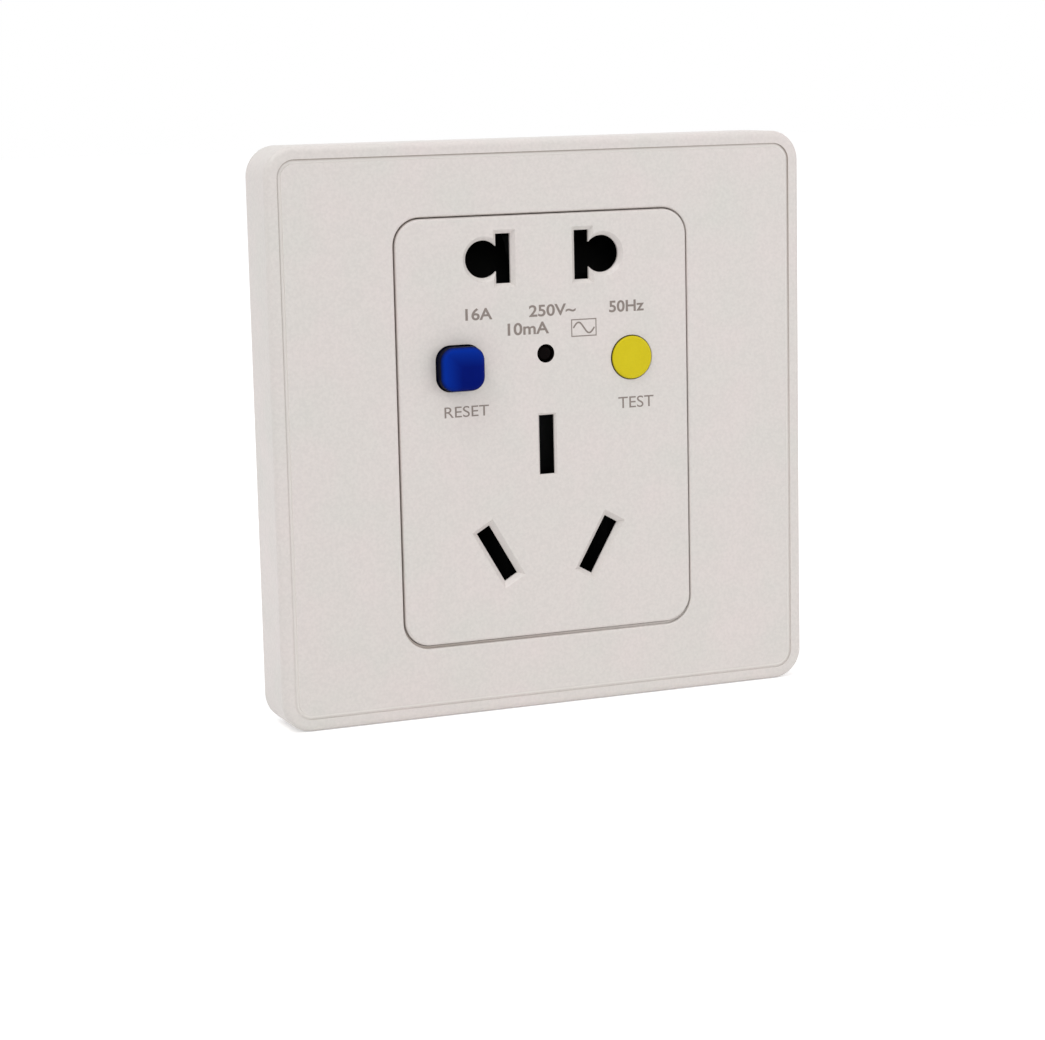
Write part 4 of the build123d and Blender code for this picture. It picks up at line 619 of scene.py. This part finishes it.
# Residual current sensor: wire looped round the ring core
ringLook = {"count": 84, "wire": 0.16, "corner": 0.3, "cornerSteps": 2, "sides": 6, "coreInner": 5.0}
ringWinding, given = newTree("ringWinding", (("Ring Radius", "Float"), ("Width", "Float"), ("Height", "Float"),
                                             ("Wire", "Float"), ("Corner", "Float"), ("Count", "Int"),
                                             ("Material", "Material")))
spots = addNode(ringWinding, "GeometryNodeMeshCircle", links={"Vertices": given["Count"],
                                                              "Radius": given["Ring Radius"]})
loop = addNode(ringWinding, "GeometryNodeCurvePrimitiveQuadrilateral",
               links={"Width": given["Width"], "Height": given["Height"]})
loop = addNode(ringWinding, "GeometryNodeFilletCurve", {"Count": ringLook["cornerSteps"]},
               {"Curve": loop.outputs["Curve"], "Radius": given["Corner"]}, mode="POLY")
wireRound = addNode(ringWinding, "GeometryNodeCurvePrimitiveCircle", {"Resolution": ringLook["sides"]},
                    {"Radius": calc(ringWinding, "MULTIPLY", given["Wire"], 0.5)})
loop = addNode(ringWinding, "GeometryNodeCurveToMesh",
               links={"Curve": loop.outputs["Curve"], "Profile Curve": wireRound.outputs["Curve"]})
loop = addNode(ringWinding, "GeometryNodeTransform", {"Rotation": (math.pi / 2, 0, 0)},
               {"Geometry": loop.outputs["Mesh"]})
index = addNode(ringWinding, "GeometryNodeInputIndex").outputs["Index"]
turned = calc(ringWinding, "MULTIPLY", calc(ringWinding, "DIVIDE", index, given["Count"]), 2 * math.pi)
facing = addNode(ringWinding, "ShaderNodeCombineXYZ", links={"Z": turned})
loops = addNode(ringWinding, "GeometryNodeInstanceOnPoints",
                links={"Points": spots.outputs["Mesh"], "Instance": loop.outputs["Geometry"],
                       "Rotation": facing.outputs["Vector"]})
endTree(ringWinding, given, loops.outputs["Instances"])
coreLow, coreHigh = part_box("sensor_core")
coreOuter = (coreHigh.x - coreLow.x) / 2
coreInner = ringLook["coreInner"] * mm
mesh = builtMesh(ringWinding, {
    "Ring Radius": (coreOuter + coreInner) / 2, "Width": coreOuter - coreInner + ringLook["wire"] * mm,
    "Height": coreHigh.y - coreLow.y + ringLook["wire"] * mm, "Wire": ringLook["wire"] * mm,
    "Corner": ringLook["corner"] * mm, "Count": ringLook["count"], "Material": enamelledCopper,
})
mesh.transform(Matrix.Translation((coreLow + coreHigh) / 2 + Vector((0, ringLook["wire"] / 2 * mm, 0)))
               @ Matrix.Rotation(math.pi / 2, 4, "X"))
addPiece("sensorWinding", mesh, enamelledCopper, "socket")
print("sensor wound:", ringLook["count"], "loops")

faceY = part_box("face_panel")[0].y
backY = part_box("rear_housing")[1].y

# Printed words: x to the right and z up from the plate's centre, in mm
printedWords = {
    "inkHeight": 0.015,
    "words": (
        # name, text, left, right, baseline, capital height, stroke change
        ("currentRating", "16A", -12.8, -8.5, 16.6, 1.73, 0.02),
        ("voltageRating", "250V~", -2.6, 5.0, 16.6, 1.73, 0.02),
        ("frequencyRating", "50Hz", 10.5, 16.3, 16.6, 1.73, 0.02),
        ("tripRating", "10mA", -6.1, 0.6, 14.0, 1.8, 0.02),
        ("resetWord", "RESET", -16.5, -9.4, 2.3, 1.6, 0.0),
        ("testWord", "TEST", 11.8, 17.7, 1.9, 1.7, 0.0),
    ),
}
letterLook = {"depth": 0.5, "curveSteps": 8}


def wordMesh(text, stroke):
    # letters as a plain mesh lying in XY, with some depth along Z, and the mesh's two far corners
    curve = bpy.data.curves.new("letters", "FONT")
    curve.body = text
    curve.extrude = letterLook["depth"]
    curve.offset = stroke
    curve.resolution_u = letterLook["curveSteps"]
    shape = bpy.data.objects.new("letters", curve)
    bpy.context.scene.collection.objects.link(shape)
    view = bpy.context.evaluated_depsgraph_get()
    mesh = bpy.data.meshes.new_from_object(shape.evaluated_get(view))
    bpy.data.objects.remove(shape)
    bpy.data.curves.remove(curve)
    low = Vector(min(v.co[i] for v in mesh.vertices) for i in range(3))
    high = Vector(max(v.co[i] for v in mesh.vertices) for i in range(3))
    return mesh, low, high


for name, text, left, right, baseline, capital, stroke in printedWords["words"]:
    mesh, low, high = wordMesh(text, stroke)
    capLow, capHigh = wordMesh("H", stroke)[1:]
    across = (right - left) * mm / (high.x - low.x)
    upward = capital * mm / (capHigh.y - capLow.y)
    thick = printedWords["inkHeight"] * mm / (high.z - low.z)
    for v in mesh.vertices:
        v.co = Vector((
            left * mm + (v.co.x - low.x) * across,
            faceY - (v.co.z - low.z) * thick,
            baseline * mm + (v.co.y - capLow.y) * upward,
        ))
    mesh.name = name
    addPiece(name, mesh, markInk, "socket")
print("printed words:", len(printedWords["words"]))

# Flat lines: at a bend, a corner reaches out by no more than half the width divided by this
lineLook = {"sharpest": 0.4}


def ribbonPiece(name, points, width, closed, surface, height, material, slot):
    # flat line through points given in mm, standing off a surface by height along Y
    shape = bmesh.new()
    corners = []
    count = len(points)
    for i, point in enumerate(points):
        before = points[i - 1] if (closed or i) else point
        after = points[(i + 1) % count] if (closed or i < count - 1) else point
        into = (point - before).normalized() if point != before else (after - point).normalized()
        out = (after - point).normalized() if after != point else into
        side = Vector((-(into + out).y, (into + out).x)).normalized()
        reach = width / 2 / max(lineLook["sharpest"], side.dot(Vector((-into.y, into.x))))
        corners.append([point + side * reach, point - side * reach])
    front = [[shape.verts.new((p.x * mm, surface + height * mm, p.y * mm)) for p in pair] for pair in corners]
    for i in range(count if closed else count - 1):
        a, b = front[i], front[(i + 1) % count]
        shape.faces.new((a[0], a[1], b[1], b[0]))
    raised = bmesh.ops.extrude_face_region(shape, geom=shape.faces[:])
    for v in raised["geom"]:
        if isinstance(v, bmesh.types.BMVert):
            v.co.y = surface
    bmesh.ops.recalc_face_normals(shape, faces=shape.faces[:])
    mesh = bpy.data.meshes.new(name)
    shape.to_mesh(mesh)
    shape.free()
    return addPiece(name, mesh, material, "socket")


# Boxed sine sign to the right of the trip rating; the wave takes up these shares of the box
sineSign = {"left": 4.3, "right": 8.3, "bottom": 13.3, "top": 15.8, "line": 0.16, "wave": 0.24, "steps": 28,
            "waveWide": 0.86, "waveHigh": 0.33}
inkPlace = (faceY, -printedWords["inkHeight"], markInk, "white_polycarbonate")
signLeft, signRight, signBottom, signTop = (sineSign[k] for k in ("left", "right", "bottom", "top"))
signCorners = [Vector(corner) for corner in ((signLeft, signBottom), (signRight, signBottom),
                                             (signRight, signTop), (signLeft, signTop))]
ribbonPiece("sineSignFrame", signCorners, sineSign["line"], True, *inkPlace)
waveMiddle = (signBottom + signTop) / 2
waveHeight = (signTop - signBottom) * sineSign["waveHigh"]
waveSpan = (signRight - signLeft) * sineSign["waveWide"]
waveStart = (signLeft + signRight - waveSpan) / 2
wave = [Vector((waveStart + waveSpan * i / sineSign["steps"],
                waveMiddle + waveHeight * math.sin(2 * math.pi * i / sineSign["steps"])))
        for i in range(sineSign["steps"] + 1)]
ribbonPiece("sineSignWave", wave, sineSign["wave"], False, *inkPlace)
print("sine sign done")

# Moulded marks above the wire entries on the back, read from behind
wireMarks = {"height": 0.2, "capital": 3.2, "rise": 4.6, "line": 0.5, "stroke": 0.04,
             "letters": (("lineMark", "L", "line_terminal"), ("neutralMark", "N", "neutral_terminal")),
             "earthStem": (2.0, 0.9), "earthBars": ((0.9, 3.2), (0.1, 2.0), (-0.7, 0.9))}
for name, text, terminal in wireMarks["letters"]:
    mesh, low, high = wordMesh(text, wireMarks["stroke"])
    boxLow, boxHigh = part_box(terminal)
    scale = wireMarks["capital"] * mm / (high.y - low.y)
    bottom = (boxLow.z + boxHigh.z) / 2 + wireMarks["rise"] * mm
    for v in mesh.vertices:
        v.co = Vector((
            (boxLow.x + boxHigh.x) / 2 - (v.co.x - (low.x + high.x) / 2) * scale,
            backY + (v.co.z - low.z) / (high.z - low.z) * wireMarks["height"] * mm,
            bottom + (v.co.y - low.y) * scale,
        ))
    mesh.name = name
    addPiece(name, mesh, greyNylon, "socket")
boxLow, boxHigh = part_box("earth_terminal")
earthX = (boxLow.x + boxHigh.x) / 2 / mm
earthZ = (boxLow.z + boxHigh.z) / 2 / mm + wireMarks["rise"] + wireMarks["capital"] / 2
mouldedPlace = (backY, wireMarks["height"], greyNylon, "grey_nylon")
ribbonPiece("earthMarkStem", [Vector((earthX, earthZ + offset)) for offset in wireMarks["earthStem"]],
            wireMarks["line"], False, *mouldedPlace)
for i, (offset, width) in enumerate(wireMarks["earthBars"]):
    ribbonPiece("earthMarkBar" + str(i + 1),
                [Vector((earthX + end * width / 2, earthZ + offset)) for end in (-1, 1)],
                wireMarks["line"], False, *mouldedPlace)
print("moulded marks done")


def seenDirectly(tree):
    # 1 for what the camera sees straight or in gloss, 0 for the light that the pieces get
    rays = addNode(tree, "ShaderNodeLightPath").outputs
    return calc(tree, "MAXIMUM", rays["Is Camera Ray"], rays["Is Glossy Ray"])


# Floor: it reads as white, and still takes the shadow
floorLook = {"colour": "#f4f4f4", "roughness": 0.9, "size": 6.0, "lift": 0.45}
floorMesh = bpy.data.meshes.new("paleFloor")
half = floorLook["size"] / 2
floorCorners = [(x * half, y * half, cadLow.z) for x, y in ((-1, -1), (1, -1), (1, 1), (-1, 1))]
floorMesh.from_pydata(floorCorners, [], [(0, 1, 2, 3)])
floor = bpy.data.objects.new("paleFloor", floorMesh)
bpy.context.scene.collection.objects.link(floor)
floorMaterial, floorTree, floorShader = newMaterial("paleFloor", floorLook["roughness"])
floorShader.inputs["Base Color"].default_value = linearColour(floorLook["colour"])
floorShader.inputs["Emission Color"].default_value = (1, 1, 1, 1)
floorTree.links.new(calc(floorTree, "MULTIPLY", seenDirectly(floorTree), floorLook["lift"]),
                    floorShader.inputs["Emission Strength"])
floorMesh.materials.append(floorMaterial)

# Room: even white light, a little weaker than the white that shows behind the piece
roomLight = {"ambient": 0.62, "seen": 1.0}
world = bpy.data.worlds.new("whiteRoom")
bpy.context.scene.world = world
world.use_nodes = True
roomTree = world.node_tree
roomTree.nodes.clear()
level = spread(roomTree, seenDirectly(roomTree), roomLight["ambient"], roomLight["seen"])
sky = addNode(roomTree, "ShaderNodeBackground", {"Color": (1, 1, 1, 1)}, {"Strength": level})
addNode(roomTree, "ShaderNodeOutputWorld", links={"Surface": sky.outputs["Background"]})

# Lamps: the main one at the upper left, a weaker one overhead, and a broad fill from the right
lampLooks = (
    {"name": "keyLamp", "at": (-0.54, -0.33, 0.95), "size": 0.5, "power": 3.4},
    {"name": "topLamp", "at": (0.0, -0.12, 1.1), "size": 0.5, "power": 1.6},
    {"name": "fillLamp", "at": (0.75, -0.7, 0.12), "size": 0.7, "power": 1.9},
)
for look in lampLooks:
    light = bpy.data.lights.new(look["name"], "AREA")
    light.energy = look["power"]
    light.shape = "DISK"
    light.size = look["size"]
    lamp = bpy.data.objects.new(look["name"], light)
    lamp.location = look["at"]
    lamp.rotation_mode = "QUATERNION"
    lamp.rotation_quaternion = (-Vector(look["at"])).to_track_quat("-Z", "Y")
    bpy.context.scene.collection.objects.link(lamp)

# Camera: fitted to corners and edges measured in the photo, in mm and degrees
cameraView = {"at": (-159.0, -387.4, 53.2), "yaw": 22.24, "pitch": -9.34, "roll": -1.28,
              "focalPixels": 2742.0, "imageWidth": 1045.0, "sensorWidth": 36.0, "clipStart": 0.01}
yaw, pitch, roll = (math.radians(cameraView[k]) for k in ("yaw", "pitch", "roll"))
ahead = Vector((math.sin(yaw) * math.cos(pitch), math.cos(yaw) * math.cos(pitch), math.sin(pitch)))
rightward = Vector((math.cos(yaw), -math.sin(yaw), 0))
upward = rightward.cross(ahead)
rolledRight = rightward * math.cos(roll) + upward * math.sin(roll)
rolledUp = upward * math.cos(roll) - rightward * math.sin(roll)
cameraData = bpy.data.cameras.new("camera")
cameraData.sensor_width = cameraView["sensorWidth"]
cameraData.lens = cameraView["focalPixels"] / cameraView["imageWidth"] * cameraView["sensorWidth"]
cameraData.clip_start = cameraView["clipStart"]
camera = bpy.data.objects.new("camera", cameraData)
camera.matrix_world = Matrix.Translation(Vector(cameraView["at"]) * mm) @ Matrix(
    (rolledRight, rolledUp, -ahead)).transposed().to_4x4()
bpy.context.scene.collection.objects.link(camera)
bpy.context.scene.camera = camera
bpy.context.scene.view_settings.view_transform = "Standard"
print("floor, light and camera done")
